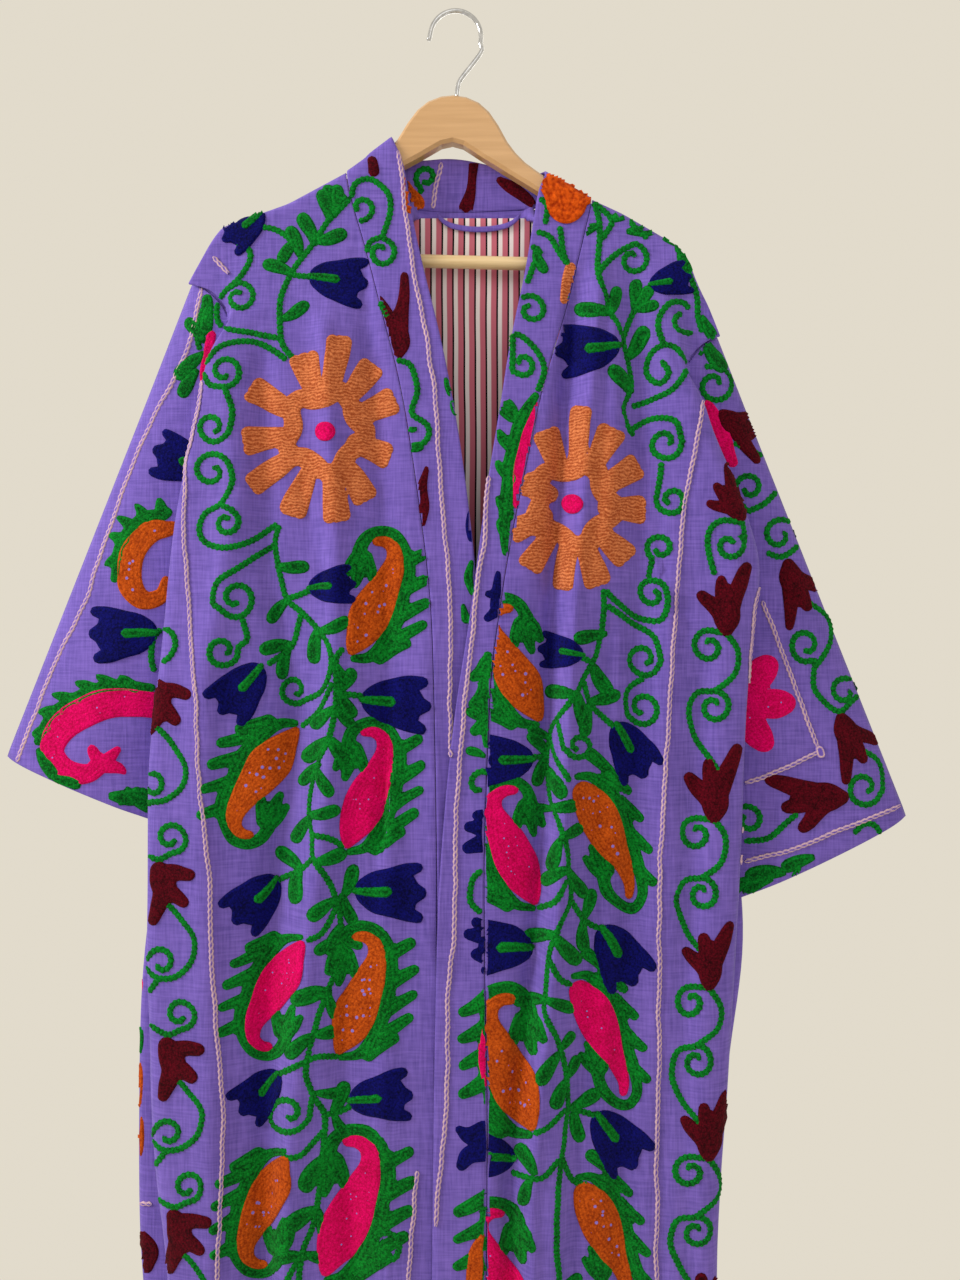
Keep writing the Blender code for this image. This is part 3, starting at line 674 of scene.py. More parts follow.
def sew_pad(on, pad, colour, at=(0, 0), turn=0.0, size=1.0, flip=False, lift=0.0):
    """Sews a drawn pad at a place, turned clockwise by degrees."""
    bm = bmesh.new()
    bm.from_mesh(pad)
    painted_shade_and_cloth_gap = bm.verts.layers.float.new("painted_shade_and_cloth_gap")
    inner = bm.verts.layers.float.new("deep")
    c, s = math.cos(math.radians(turn)) * size, math.sin(math.radians(turn)) * size
    lost = []
    for vert in bm.verts:
        x, y, deep = vert.co
        x = -x if flip else x
        found = touch(on, hand_drawn(at[0] + x * c - y * s, at[1] + x * s + y * c))
        if found is None:
            lost.append(vert)
            continue
        crest = 0.5 - 0.5 * math.cos(2 * math.pi * deep / ROW)
        # The crest share also paints the colour darker between rows: painted shade.
        vert[painted_shade_and_cloth_gap] = crest
        vert[inner] = max(0, min(1, (deep - 6) / 4))
        rise = PAD_HEIGHT * min(1, deep / 1.8) - SUNK + RIB_HEIGHT * crest + lift
        vert.co = found[0] + found[1] * rise
    bmesh.ops.delete(bm, geom=lost, context="VERTS")
    long = [edge for edge in bm.edges if edge.calc_length() > LONGEST]
    bmesh.ops.delete(bm, geom=long, context="EDGES")
    loose = [vert for vert in bm.verts if not vert.link_faces]
    bmesh.ops.delete(bm, geom=loose, context="VERTS")
    if not bm.faces:
        bm.free()
        return
    start, way = on["aim"](MIDDLE)
    if start == EYE:
        way = bm.faces[:][len(bm.faces) // 2].calc_center_median() - EYE
    bm.normal_update()
    if sum(face.normal.dot(way) for face in bm.faces) > 0:
        bmesh.ops.reverse_faces(bm, faces=bm.faces)
    keep(on, bm, colour)


# %% [markdown]
# ## Single rows
#
# A vine is one row of chain stitch. Each loop is wide in its middle and pinched at its ends. The
# pale thread is worked in larger, open loops, so the cloth shows inside each of them.

# %% Sew a line
STITCH_HEIGHT = 0.0015
HALF_PIXEL = 0.00047
JUMP = 0.009  # metres; past this the row is broken off and starts again
ACROSS = (-1, -0.62, 0, 0.62, 1)  # the five points over a row: rim, crest, middle, crest, rim


def sew_line(on, points, colour="green", width=7.4, link=4.6, open_links=False, lift=0.0):
    """Sews one row of chain stitch along a line."""
    line = smooth_line(points, link / 2)
    found = [touch(on, hand_drawn(x, y)) for x, y in line[:, :2]]
    runs, run = [], []
    for k, hit in enumerate(found):
        if hit is None or (run and (hit[0] - run[-1][1][0]).length > JUMP):
            runs.append(run)
            run = []
        if hit is not None:
            run.append((k, hit))
    runs.append(run)
    for run in runs:
        if len(run) < 3:
            continue
        bm = bmesh.new()
        bmesh.ops.create_grid(bm, x_segments=4, y_segments=len(run) - 1, size=1)
        painted_shade_and_cloth_gap = bm.verts.layers.float.new("painted_shade_and_cloth_gap")
        bm.verts.layers.float.new("deep")
        for vert in bm.verts:
            column = round((vert.co.x + 1) * 2)
            row = round((vert.co.y + 1) / 2 * (len(run) - 1))
            number, (where, normal, _) = run[row]
            before, after = run[max(0, row - 1)][1][0], run[min(len(run) - 1, row + 1)][1][0]
            side = (after - before).cross(normal).normalized()
            wide = number % 2
            hollow = open_links and wide
            half = width * HALF_PIXEL * (1.0 if wide else 0.72)
            if row in (0, len(run) - 1):
                half *= 0.55
            middle = STITCH_HEIGHT * (0.35 if hollow else 0.85)
            rise = (-SUNK, STITCH_HEIGHT, middle, STITCH_HEIGHT, -SUNK)[column]
            # Painted shade: rims and pinches get lower values, so their colour is darker; in an open loop the
            # middle is 0, where the cloth colour shows.
            crest = (0.7, 1, 0.0 if hollow else 0.8, 1, 0.7)[column]
            vert[painted_shade_and_cloth_gap] = crest * (1 if wide else 0.85 if open_links else 0.4)
            reach = side * (half * ACROSS[column])
            vert.co = where + reach + normal * (rise * (1 if wide else 0.62) + lift)
        bm.normal_update()
        if sum(face.normal.dot(run[0][1][1]) for face in bm.faces) < 0:
            bmesh.ops.reverse_faces(bm, faces=bm.faces)
        keep(on, bm, colour)


# %% [markdown]
# ## The motifs
#
# These are the usual motifs of this kind of needlework: a bell tulip, a three-clawed tulip, an
# almond shape with a combed leaf along its back, and small leaves. Each is drawn once about its
# stem end, pointing up, and is then turned, sized and flipped to its place.

# %% Motifs
leaf_pad = draw_pad([((0, 0, 3.2), (0.6, -8, 5), (0, -15, 5.9), (-0.5, -20, 5.6))])
tulip_pad = draw_pad(
    [
        ((0, -10, 13), (0, -21, 19), (0, -31, 20)),
        ((-10, -24, 10), (-17, -39, 7), (-20, -49, 4.6)),
        ((0, -30, 14), (1, -43, 9), (1, -51, 6)),
        ((10, -24, 10), (17, -39, 7), (21, -50, 4.6)),
    ]
)
tulip_heart = draw_pad([((0, 2, 3.4), (0, -12, 4.4), (0, -24, 4.8))])
claw_pad = draw_pad(
    [
        ((0, -3, 7), (1, -16, 13), (0, -26, 13)),
        ((4, -24, 10), (12, -44, 8.4), (18, -60, 6.4), (21, -66, 5)),
        ((-2, -26, 9), (-4, -44, 7.4), (-5, -52, 5.6)),
        ((-6, -20, 8), (-18, -32, 7), (-24, -39, 5.2)),
    ]
)
border_claw_pad = draw_pad(
    [
        ((0, 4, 8), (5, 16, 12.5), (6, 28, 11), (0, 44, 8), (-4, 56, 5.6)),
        ((4, 8, 8), (18, 7, 7.4), (31, 9, 6.2)),
        ((8, 22, 9), (17, 30, 8), (25, 37, 6)),
    ]
)
almond_pad = draw_pad(
    [
        ((2, -6, 5), (8, -20, 13), (16, -38, 20.5), (25, -57, 19.5), (34, -78, 14.5), (40, -96, 10),
         (38, -110, 7.5), (29, -116.5, 5.8), (20, -117, 4.6)),
    ]
)
straight_almond_pad = draw_pad(
    [
        ((10, -14, 12), (15, -28, 19), (18, -44, 21.5), (20, -62, 19.5), (23, -80, 15), (27, -98, 10),
         (28, -118, 6.6), (24, -132, 4.6)),
    ]
)


def draw_comb(back, tips, sweep):
    """The combed leaf behind an almond: a stroke along its back, three lobes in its bend, and its
    fingers."""
    strokes = [
        back,
        ((5, -104, 8), (-3, -94, 6.4), (-8, -82, 4.4)),
        ((7, -100, 8), (4, -84, 6.4), (1, -72, 4.4)),
        ((10, -100, 8), (16, -88, 6.5), (18, -80, 5)),
    ]
    for x, y in tips:
        finger = ((1, 7.6), (0.5, 6.5), (0.14, 5.5))
        strokes.append([(x - part * sweep[0], y + part * sweep[1], half) for part, half in finger])
    return draw_pad(strokes)


comb_pad = draw_comb(
    ((4, 2, 4), (18, -1, 5.5), (31, -12, 8), (40, -30, 8.5), (46, -50, 8.5), (51, -72, 8.5), (54, -92, 8),
     (49, -110, 7), (38, -124, 6), (22, -127, 6), (9, -119, 6.5), (3, -106, 7)),
    ((60, -19), (74, -38), (78, -61), (80, -86), (77, -112)),
    (30, 17),
)
straight_comb_pad = draw_comb(
    ((8, 4, 4), (22, 0, 5.5), (33, -14, 8), (40, -32, 8.5), (42, -52, 8.5), (42, -74, 8), (42, -96, 7.5),
     (42, -118, 6.5), (37, -138, 6), (26, -147, 6), (13, -140, 6), (4, -124, 7), (3, -106, 7)),
    ((46, -4), (58, -29), (62, -61), (61, -96), (55, -130)),
    (18, 27),
)
print("a tulip has", len(tulip_pad.polygons), "faces, a comb", len(comb_pad.polygons))

# %% [markdown]
# ## Sewing many at once
#
# Each row of the tables below gives the place of a motif's stem end in the picture, its direction
# in degrees clockwise from the top, and its size. A motif is a pad or two, each with its thread and
# its lift, which keeps two motifs that cross from lying at one height, where they would flicker.
# A flower is a ring with a star-shaped hole, petals that widen to a blunt end, and a knot in the
# middle.

# %% Sew many
PALE = {"colour": "pale", "width": 5.2, "link": 6.4, "open_links": True, "lift": 0.0005}
THICK_PALE = {**PALE, "width": 5.6, "lift": 0.0}
RING, RING_HALF, HOLLOW = 37, 9.5, 4
PETAL_ROOT, PETAL_END = 0.44, 0.56  # shares of a petal's reach: its root, and on from there
LEAF = ((leaf_pad, "green", 0.0003),)
TULIP = ((tulip_pad, "navy", 0.0007), (tulip_heart, "green", 0.0017))
CLAWS = ((claw_pad, "maroon", 0.0006),)
BORDER_CLAWS = ((border_claw_pad, "maroon", 0.0006),)


def sew(on, motif, *places):
    """Sews a motif, which has one or more pads, at many places."""
    for x, y, turn, size in places:
        for pad, colour, lift in motif:
            sew_pad(on, pad, colour, (x, y), turn, size, lift=lift)


def almonds(on, places, flip, straight=False):
    """Almond shapes with their combed leaf, flipped or not. The tail is hooked, or straight."""
    comb, almond = (straight_comb_pad, straight_almond_pad) if straight else (comb_pad, almond_pad)
    for colour, x, y, turn, size in places:
        sew_pad(on, comb, "green", (x, y), turn, size, flip)
        sew_pad(on, almond, colour, (x, y), turn, size, flip, lift=0.0007)


def vines(on, *lines, **how):
    """Rows of chain stitch. A last place with five numbers is a curl, as spiral takes it."""
    for *stem, last in lines:
        sew_line(on, [*stem, *(spiral(*last) if len(last) == 5 else [last])], **how)


def scrap(on, colour, *strokes, lift=0.0):
    """A shape drawn in its place on the cloth, often the rest of a motif that was cut through."""
    sew_pad(on, draw_pad(strokes), colour, lift=lift)


def fingers(half, *rows):
    """Short strokes that fan out from a leaf: place of the root, reach across and reach down."""
    return [
        ((x, y, 6), (x + dx * 0.6, y + dy * 0.6, half), (x + dx, y + dy, 3)) for x, y, dx, dy in rows
    ]


def daisy(on, x, y, petals):
    """A petal has a direction in degrees, a reach and a half width."""
    circle = []
    for k in range(21):
        a = 2 * math.pi * k / 20
        reach = RING + HOLLOW * (1 if k % 4 in (1, 2) else -1)
        circle.append((x + reach * math.sin(a), y - reach * math.cos(a), RING_HALF))
    strokes = [circle]
    for degrees, reach, half in petals:
        a = math.radians(degrees)
        out = np.array((math.sin(a), -math.cos(a)))
        side = np.array((-out[1], out[0]))
        for way in (-1, 0, 1):
            stroke = []
            for r, wide in ((PETAL_ROOT, 7.4), (0.68, 7.6), (1.0, 6.4)):
                spread = 1.0 + (half * 0.55 - 1.0) * (r - PETAL_ROOT) / PETAL_END
                place = np.array((x, y)) + out * (r * (reach + 2) - 5 * (r == 1)) + side * way * spread
                stroke.append((*place, wide))
            strokes.append(stroke)
    sew_pad(on, draw_pad(strokes, 3.0), "peach", lift=0.0004)
    sew_pad(on, draw_pad([((x - 1, y, 9.5), (x + 1, y, 9.5))], 2.4), "pink", lift=0.001)


print("kinds of motif: leaf, tulip, clawed tulip, almond, vine, flower")

# %% [markdown]
# ## The left front
#
# Down the middle climbs a vine, with tulips and almond shapes in turn on either side. A border of
# clawed tulips and double curls runs outside a line of pale chain stitch.

# %% Left front: its tables
LEFT_BORDER = ((163, 862), (172, 1038), (179, 1210), (184, 1384))
LEFT_PETALS = (
    (9, 94, 13), (36, 80, 14), (66, 74, 14), (112, 68, 13), (149, 78, 13), (172, 88, 14), (202, 88, 13),
    (233, 90, 12), (263, 80, 15), (300, 84, 14), (344, 78, 16),
)
LEFT_TULIPS = (
    (262, 214, 234, 0.85), (312, 277, 97, 1.0), (311, 588, 84, 0.8), (260, 668, 221, 1.08),
    (364, 700, 95, 1.18), (275, 880, 223, 1.06), (358, 891, 91, 1.2), (277, 1074, 222, 0.97),
    (352, 1100, 84, 1.08), (276, 1300, 222, 1.05), (344, 1318, 88, 1.08),
)
LEFT_ALMONDS = (
    ("orange", 350, 657, 3, 1.0), ("pink", 345, 849, 0, 1.0), ("orange", 338, 1056, -1, 1.02),
    ("pink", 322, 1277, 1, 1.16), ("orange", 298, 726, 194, 1.0), ("pink", 303, 940, 188, 0.94),
    ("orange", 287, 1153, 182, 0.95),
)
LEFT_VINES = (
    [(352, 196), (330, 219), (314, 242), (295, 268), (283, 290), (279, 315), (283, 343), (293, 358)],
    [(262, 228), (278, 231), (290, 239), (301, 256)],
    [(268, 262), (291, 274), (315, 277)],
    [(226, 289), (236, 283), (239, 297, 14, 10, 1.3)],
    [(287, 360), (262, 345), (237, 342), (216, 350), (205, 369), (209, 384), (225, 371, 15, 190, -1.4)],
    [(224, 386), (232, 408), (230, 429), (212, 427, 14, 130, 1.35)],
    [(277, 523), (252, 541), (229, 548), (207, 543), (199, 530), (205, 513), (221, 503), (231, 483),
     (212, 470, 18, 90, -1.45)],
    [(221, 504), (234, 511), (226, 522, 12, 20, 1.3)],
    [(279, 524), (275, 545), (279, 567), (285, 596), (301, 612), (318, 629), (330, 648), (330, 668),
     (322, 690), (294, 690, 14, 130, 1.4)],
    [(275, 545), (250, 561), (218, 580), (213, 601), (236, 598, 19, 240, -1.5)],
    [(242, 617), (247, 639), (222, 650, 16, 80, 1.45)],
    [(286, 598), (298, 595), (312, 590)],
    [(301, 614), (291, 647), (268, 665)],
    [(344, 648), (336, 660), (336, 690), (336, 711), (329, 738), (318, 760), (312, 781), (309, 813),
     (313, 835), (313, 859), (325, 875), (336, 899), (341, 923), (340, 945), (335, 970), (326, 995),
     (318, 1017), (309, 1050)],
    [(332, 682), (318, 711), (301, 727)],
    [(338, 694), (364, 697)],
    [(312, 835), (328, 838), (344, 846)],
    [(312, 859), (296, 872), (277, 882)],
    [(338, 903), (346, 893), (360, 889)],
    [(337, 907), (323, 931), (306, 941)],
    [(309, 1050), (306, 1073), (313, 1095), (324, 1115), (324, 1142), (321, 1176), (317, 1207), (311, 1229),
     (302, 1252), (300, 1290), (308, 1330), (318, 1370), (316, 1405)],
    [(340, 1057), (315, 1058), (291, 1068), (275, 1076)],
    [(313, 1096), (309, 1117), (287, 1114, 20, 110, 1.5)],
    [(324, 1130), (304, 1153), (286, 1157), (284, 1152)],
    [(325, 1116), (340, 1112), (353, 1105)],
    [(345, 1278), (372, 1262), (384, 1246, 15, 150, -1.4)],
    [(302, 1252), (288, 1280), (276, 1298)],
    [(304, 1312), (324, 1320), (344, 1318)],
)
LEFT_LEAVES = (
    (314, 243, 338, 1.3), (317, 241, 78, 1.25), (300, 254, 340, 1.2), (292, 273, 292, 1.2),
    (283, 318, 62, 1.15), (296, 240, 215, 1.1), (330, 219, 345, 1.2), (334, 215, 10, 1.2),
    (346, 200, 300, 1.0), (279, 567, 92, 1.2), (287, 600, 222, 1.15), (322, 631, 70, 1.2),
    (318, 631, 190, 1.3), (291, 645, 262, 1.25), (288, 649, 195, 1.2), (336, 665, 150, 0.9),
    (336, 693, 40, 1.2), (340, 694, 150, 1.1), (334, 708, 232, 1.2), (337, 708, 140, 1.0),
    (328, 739, 230, 1.3), (330, 739, 140, 1.4), (318, 764, 225, 1.1), (316, 770, 150, 1.2),
    (310, 815, 80, 1.2), (310, 818, 215, 1.2), (300, 868, 310, 1.2), (299, 871, 190, 1.3),
    (318, 862, 70, 1.2), (345, 895, 20, 1.3), (344, 899, 160, 1.1), (335, 901, 240, 1.3),
    (341, 926, 205, 1.3), (340, 938, 240, 1.2), (342, 936, 120, 0.9), (328, 993, 262, 1.5),
    (328, 995, 160, 1.1), (314, 1035, 80, 1.2), (312, 1037, 235, 1.3), (318, 1093, 90, 1.1),
    (333, 1112, 25, 1.3), (334, 1115, 150, 1.1), (324, 1147, 60, 0.8), (322, 1160, 215, 1.5),
    (316, 1210, 240, 1.5), (319, 1212, 170, 1.1), (305, 1255, 100, 1.2), (304, 1258, 270, 1.2),
    (301, 1300, 70, 1.1), (303, 1310, 290, 1.1),
)
LEFT_LINES = (
    [(214, 257), (229, 273)],
    [(205, 330), (200, 400), (187, 461), (184, 507), (187, 568), (191, 645), (196, 706), (199, 783),
     (208, 861), (211, 922), (214, 999), (219, 1060), (223, 1121), (221, 1183), (217, 1280), (214, 1410)],
    [(417, 1170), (413, 1216), (409, 1280), (406, 1405)],
)
ARMHOLE_VINES = (
    [(282, 338), (250, 333), (222, 326), (217, 308), (226, 289), (242, 274), (251, 257), (246, 246),
     (236, 245)],
    [(155, 671), (151, 655), (154, 637), (163, 629), (172, 634), (175, 646), (169, 657), (160, 662)],
)
print("left front:", len(LEFT_VINES), "vines,", len(LEFT_LEAVES), "leaves")

# %% [markdown]
# ## Sewing the left front
#
# The tables are sewn in one function, because the hidden back gets the same plan. Two vines at the
# armhole run on over the sleeve, so both panels are in the hoop for them.


# %% Left front
def left_border(on, x, y):
    """One repeat of the border above a clawed tulip that points down from the given place."""
    sew(on, BORDER_CLAWS, (x - 5, y + 3, 0.0, 1.0))
    vines(
        on,
        [(x - 8, y - 137), (x + 8, y - 120), (x + 22, y - 98), (x + 19, y - 76), (x + 4, y - 62),
         (x - 11, y - 76, 15, 180, 1.45)],
        [(x - 13, y - 61), (x - 26, y - 40), (x - 23, y - 16), (x - 6, y - 3),
         (x + 8, y - 24, 15, 180, -1.45)],
    )


def left_front(on):
    daisy(on, 325, 431, LEFT_PETALS)
    sew(on, TULIP, *LEFT_TULIPS)
    almonds(on, LEFT_ALMONDS, flip=False)
    vines(on, *LEFT_VINES)
    sew(on, LEAF, *LEFT_LEAVES)
    for x, y in LEFT_BORDER:
        left_border(on, x, y)
    sew(on, BORDER_CLAWS, (157, 682, 8, 0.95))


left_on = hoop("embroidery_front_left", ("front_left",))
band_on = hoop("embroidery_band", ("collar_band",))
left_front(left_on)
vines(left_on, *LEFT_LINES, **PALE)
armhole = hoop("embroidery_front_left", ("front_left", "sleeve_left"))
vines(armhole, *ARMHOLE_VINES)
print("left front:", len(stitched["embroidery_front_left"].faces), "faces of thread")

# %% [markdown]
# ## Left arm of the collar band
#
# The band was cut from embroidered cloth too, so what runs over it is parts of motifs: a clawed
# tulip, curls, leaves, and scraps of petals at its edges.

# %% Left arm of the collar band
BAND_LINE_LEFT = [
    (398, 147), (404, 196), (412, 260), (428, 346), (435, 400), (442, 501), (450, 596), (450, 675),
    (451, 758),
]
claw_up = draw_pad(
    [
        ((2, -3, 6), (2, -14, 11), (0, -30, 11)),
        ((2, -30, 10), (5, -54, 7), (6, -80, 4.6)),
        ((-3, -30, 8), (-12, -46, 6), (-19, -58, 3.6)),
    ]
)
vines(band_on, BAND_LINE_LEFT, **PALE)
sew_pad(band_on, claw_up, "maroon", (396, 357), 2)
for colour, stroke in (
    ("maroon", ((426, 468, 3), (421, 490, 6), (424, 508, 6), (423, 525, 2.6))),
    ("maroon", ((372, 160, 5), (374, 172, 6))),
    ("navy", ((471, 514, 4), (470, 526, 5), (471, 538, 4))),
    ("green", ((471, 562, 3), (469, 578, 5), (472, 592, 3))),
    ("green", ((464, 606, 3), (466, 618, 5))),
):
    scrap(band_on, colour, stroke)
vines(
    band_on,
    [(351, 200), (356, 184), (371, 180), (387, 192), (391, 210), (384, 236), (381, 253, 14, 20, 1.35)],
    [(384, 236), (369, 243), (366, 265), (371, 285), (381, 304), (388, 318)],
    [(352, 200), (361, 208, 13, 270, -1.35)],
    [(397, 360), (411, 366), (417, 389), (411, 411), (416, 434, 14, 20, 1.2)],
    [(416, 449), (402, 446)],
    [(398, 506), (408, 507, 13, 270, 0.75)],
    [(421, 528), (424, 548), (427, 566)],
    [(421, 640), (427, 700)],
)
sew(band_on, LEAF, (381, 325, 335, 1.6), (402, 447, 90, 0.9), (445, 380, 160, 0.7), (452, 402, 160, 0.6))
print("band so far:", len(stitched["embroidery_band"].faces), "faces of thread")

# %% [markdown]
# ## The right front
#
# It lies on top of the other front. The same plan is turned about, and its left column is cut by
# the seam of the collar band, so the motifs there are only half shown.

# %% Right front: its tables
RIGHT_BORDER = (
    (726, 633, 1.0), (714, 820, 1.08), (709, 988, 0.95), (708, 1158, 0.98), (706, 1330, 1.0),
)
RIGHT_PETALS = (
    (5, 96, 9), (28, 84, 14), (59, 74, 14), (95, 70, 14), (136, 76, 14), (163, 84, 13), (187, 84, 8),
    (215, 76, 13), (246, 66, 12), (293, 52, 12), (339, 76, 13),
)
RIGHT_TULIPS = (
    (652, 285, 76, 0.72), (616, 345, 262, 1.1), (581, 654, 276, 0.76), (618, 727, 151, 1.02),
    (530, 759, 268, 1.1), (604, 930, 150, 1.12), (530, 947, 270, 1.2), (598, 1115, 143, 1.15),
    (512, 1158, 275, 1.15), (604, 1330, 146, 1.1),
)
RIGHT_ALMONDS = (
    ("orange", 541, 722, -6, 1.0), ("pink", 537, 906, -2, 1.0), ("orange", 534, 1133, 0, 1.14),
    ("pink", 526, 1338, -2, 1.08),
)
STRAIGHT_ALMONDS = (
    ("orange", 571, 783, 163, 0.94), ("pink", 568, 981, 164, 0.92), ("orange", 572, 1183, 165, 0.94),
)
RIGHT_VINES = (
    [(594, 203), (600, 225), (599, 250), (598, 273), (606, 293), (609, 310), (617, 322), (624, 345),
     (628, 364), (631, 388), (624, 408), (629, 430), (634, 434)],
    [(598, 272), (616, 254), (632, 246), (633, 259, 14, 10, 1.3)],
    [(594, 203), (612, 220), (602, 240)],
    [(622, 340), (630, 318), (640, 300)],
    [(632, 407), (652, 400), (675, 387), (686, 368), (679, 351), (664, 345), (650, 355), (647, 373),
     (659, 383), (669, 373), (662, 361)],
    [(663, 345), (659, 330), (660, 316), (670, 304), (683, 303), (690, 309)],
    [(682, 313), (675, 319), (677, 328), (685, 333), (692, 333)],
    [(630, 430), (655, 418), (676, 422), (682, 440), (665, 443, 16, 90, 1.35)],
    [(661, 462), (659, 490), (672, 500, 14, 270, -1.4)],
    [(604, 590), (604, 615), (597, 650), (591, 664), (577, 691), (558, 716), (549, 736), (547, 768),
     (550, 798), (558, 820), (565, 840), (569, 867), (570, 897), (561, 922), (550, 952), (546, 990),
     (545, 1012), (557, 1040), (566, 1068), (568, 1099), (566, 1125), (562, 1155), (559, 1186), (557, 1231),
     (559, 1290), (562, 1340), (556, 1405)],
    [(606, 591), (615, 601), (637, 617), (659, 620), (668, 606), (652, 594, 15, 90, -1.45)],
    [(649, 578), (652, 560), (660, 548, 12, 240, 1.3)],
    [(607, 606), (632, 622), (654, 637), (661, 658), (643, 659, 16, 110, 1.4)],
    [(643, 677), (627, 691), (627, 713), (643, 708, 16, 240, -1.45)],
    [(557, 719), (563, 746), (579, 745, 12, 250, -1.4)],
    [(581, 656), (591, 662)],
    [(584, 681), (590, 703), (604, 719), (618, 730)],
    [(546, 757), (530, 758)],
    [(549, 740), (560, 766), (570, 782)],
    [(568, 880), (556, 900), (538, 908)],
    [(570, 900), (584, 920), (605, 931)],
    [(549, 960), (560, 978), (572, 984)],
    [(566, 1110), (548, 1128), (534, 1134)],
    [(568, 1108), (584, 1112), (600, 1117)],
    [(560, 1160), (540, 1178), (512, 1172)],
    [(562, 1158), (572, 1180), (590, 1186)],
    [(604, 200), (626, 210), (648, 222), (668, 236)],
    [(674, 245), (685, 262), (691, 280), (697, 300), (698, 318), (702, 332)],
    [(626, 210), (634, 226), (648, 238)],
)
RIGHT_LEAVES = (
    (600, 226, 250, 0.9), (609, 311, 275, 1.35), (610, 312, 20, 1.1), (634, 309, 82, 1.0),
    (634, 308, 44, 1.1), (634, 308, 8, 1.15), (628, 357, 35, 1.4), (630, 391, 324, 1.3),
    (612, 219, 60, 1.3), (630, 232, 80, 1.2), (604, 634, 262, 1.2), (593, 667, 150, 1.3),
    (575, 695, 280, 1.2), (577, 695, 165, 1.4), (591, 702, 75, 1.2), (589, 706, 190, 1.2),
    (549, 738, 300, 0.9), (546, 755, 325, 1.1), (544, 760, 200, 1.1), (548, 770, 150, 1.3),
    (552, 806, 90, 1.2), (552, 808, 270, 0.8), (562, 838, 60, 1.0), (560, 842, 200, 1.2),
    (569, 870, 250, 1.2), (570, 872, 150, 1.2), (584, 918, 20, 1.2), (583, 922, 180, 1.2),
    (556, 935, 270, 1.3), (556, 937, 140, 1.4), (545, 1000, 272, 1.3), (547, 1000, 110, 1.2),
    (560, 1050, 40, 0.9), (557, 1056, 215, 1.4), (567, 1078, 30, 1.0), (566, 1082, 205, 1.2),
    (574, 1106, 60, 1.2), (574, 1112, 170, 1.2), (534, 1172, 330, 1.3), (530, 1180, 200, 1.1),
    (558, 1290, 60, 1.1), (557, 1300, 240, 1.2), (640, 218, 100, 1.1), (660, 232, 120, 1.1),
    (680, 250, 160, 1.1), (702, 318, 150, 1.0),
)
TOP_CURLS = (
    [(742, 520), (745, 540), (730, 545, 14, 40, 1.3)],
    [(742, 522), (724, 520), (711, 529), (707, 545), (714, 575)],
)
RIGHT_LINES = (
    [(706, 385), (698, 430), (691, 473), (682, 522), (676, 614), (670, 706), (664, 798), (660, 880),
     (659, 984), (659, 1045), (657, 1137), (656, 1280), (654, 1405)],
    [(759, 533), (761, 565), (754, 614), (749, 675), (746, 752), (742, 829), (740, 892), (737, 953),
     (739, 996), (733, 1060), (730, 1140)],
)
BAND_LINE = [
    (489, 470), (486, 503), (485, 533), (481, 558), (478, 582), (474, 616), (470, 660), (465, 703),
    (460, 751), (457, 799), (455, 860), (454, 937), (448, 996), (447, 1084), (441, 1166), (436, 1225),
]
print("right front:", len(RIGHT_VINES), "vines,", len(RIGHT_LEAVES), "leaves")

# %% [markdown]
# ## Sewing the right front
#
# Its border is another one: the clawed tulips point up, and a pair of curls hangs below each.


# %% Right front
def right_border(on, x, y, size):
    """A clawed tulip that points up from the given place, and the curls below it."""
    sew(on, CLAWS, (x, y, 0, size))
    vines(
        on,
        [(x, y), (x + 12, y + 20), (x + 8, y + 42), (x - 12, y + 59), (x - 12, y + 74, 15, 0, 1.4)],
        [(x - 2, y), (x - 12, y - 1), (x - 18, y + 14, 15, 10, -1.4)],
        [(x - 12, y + 59), (x - 30, y + 62), (x - 37, y + 82), (x - 30, y + 106), (x - 17, y + 126),
         (x - 7, y + 138)],
    )


def right_front(on):
    daisy(on, 573, 504, RIGHT_PETALS)
    sew(on, TULIP, *RIGHT_TULIPS)
    almonds(on, RIGHT_ALMONDS, flip=True)
    almonds(on, STRAIGHT_ALMONDS, flip=True, straight=True)
    vines(on, *RIGHT_VINES)
    sew(on, LEAF, *RIGHT_LEAVES)
    sew(on, CLAWS, (742, 518, -33, 0.78))
    vines(on, *TOP_CURLS)
    for x, y, size in RIGHT_BORDER:
        right_border(on, x, y, size)


right_on = hoop("embroidery_front_right", ("front_right",))
right_front(right_on)
vines(right_on, *RIGHT_LINES, **PALE)
vines(band_on, BAND_LINE, **PALE)
print("right front:", len(stitched["embroidery_front_right"].faces), "faces of thread")

# %% [markdown]
# ## Right arm of the collar band
#
# At its top lies half of a large bright flower. Further down, the seam cuts through combed leaves
# and tulips that go on across the front, so only their ends are sewn here.

# %% Right arm of the collar band
TULIP_SCRAPS = (
    (((498, 574, 3), (497, 590, 5), (495, 606, 6)), ((496, 594, 5), (488, 594, 3.6)),
     ((495, 612, 6), (487, 618, 4.5))),
    (((485, 812, 4), (478, 815, 6)), ((486, 828, 8), (470, 827, 6)), ((486, 842, 10), (468, 848, 6))),
    (((484, 925, 6), (477, 922, 6)), ((484, 936, 9), (469, 934, 6)), ((485, 954, 10), (476, 954, 6)),
     ((486, 966, 5), (484, 970, 4))),
    (((484, 1130, 10), (470, 1135, 9), (460, 1130, 5)), ((484, 1150, 13), (470, 1155, 10), (462, 1166, 6))),
)
COMB_SCRAPS = ((655, 745, 8), (990, 1102, 19), (1190, 1290, 24), (1310, 1400, 24))

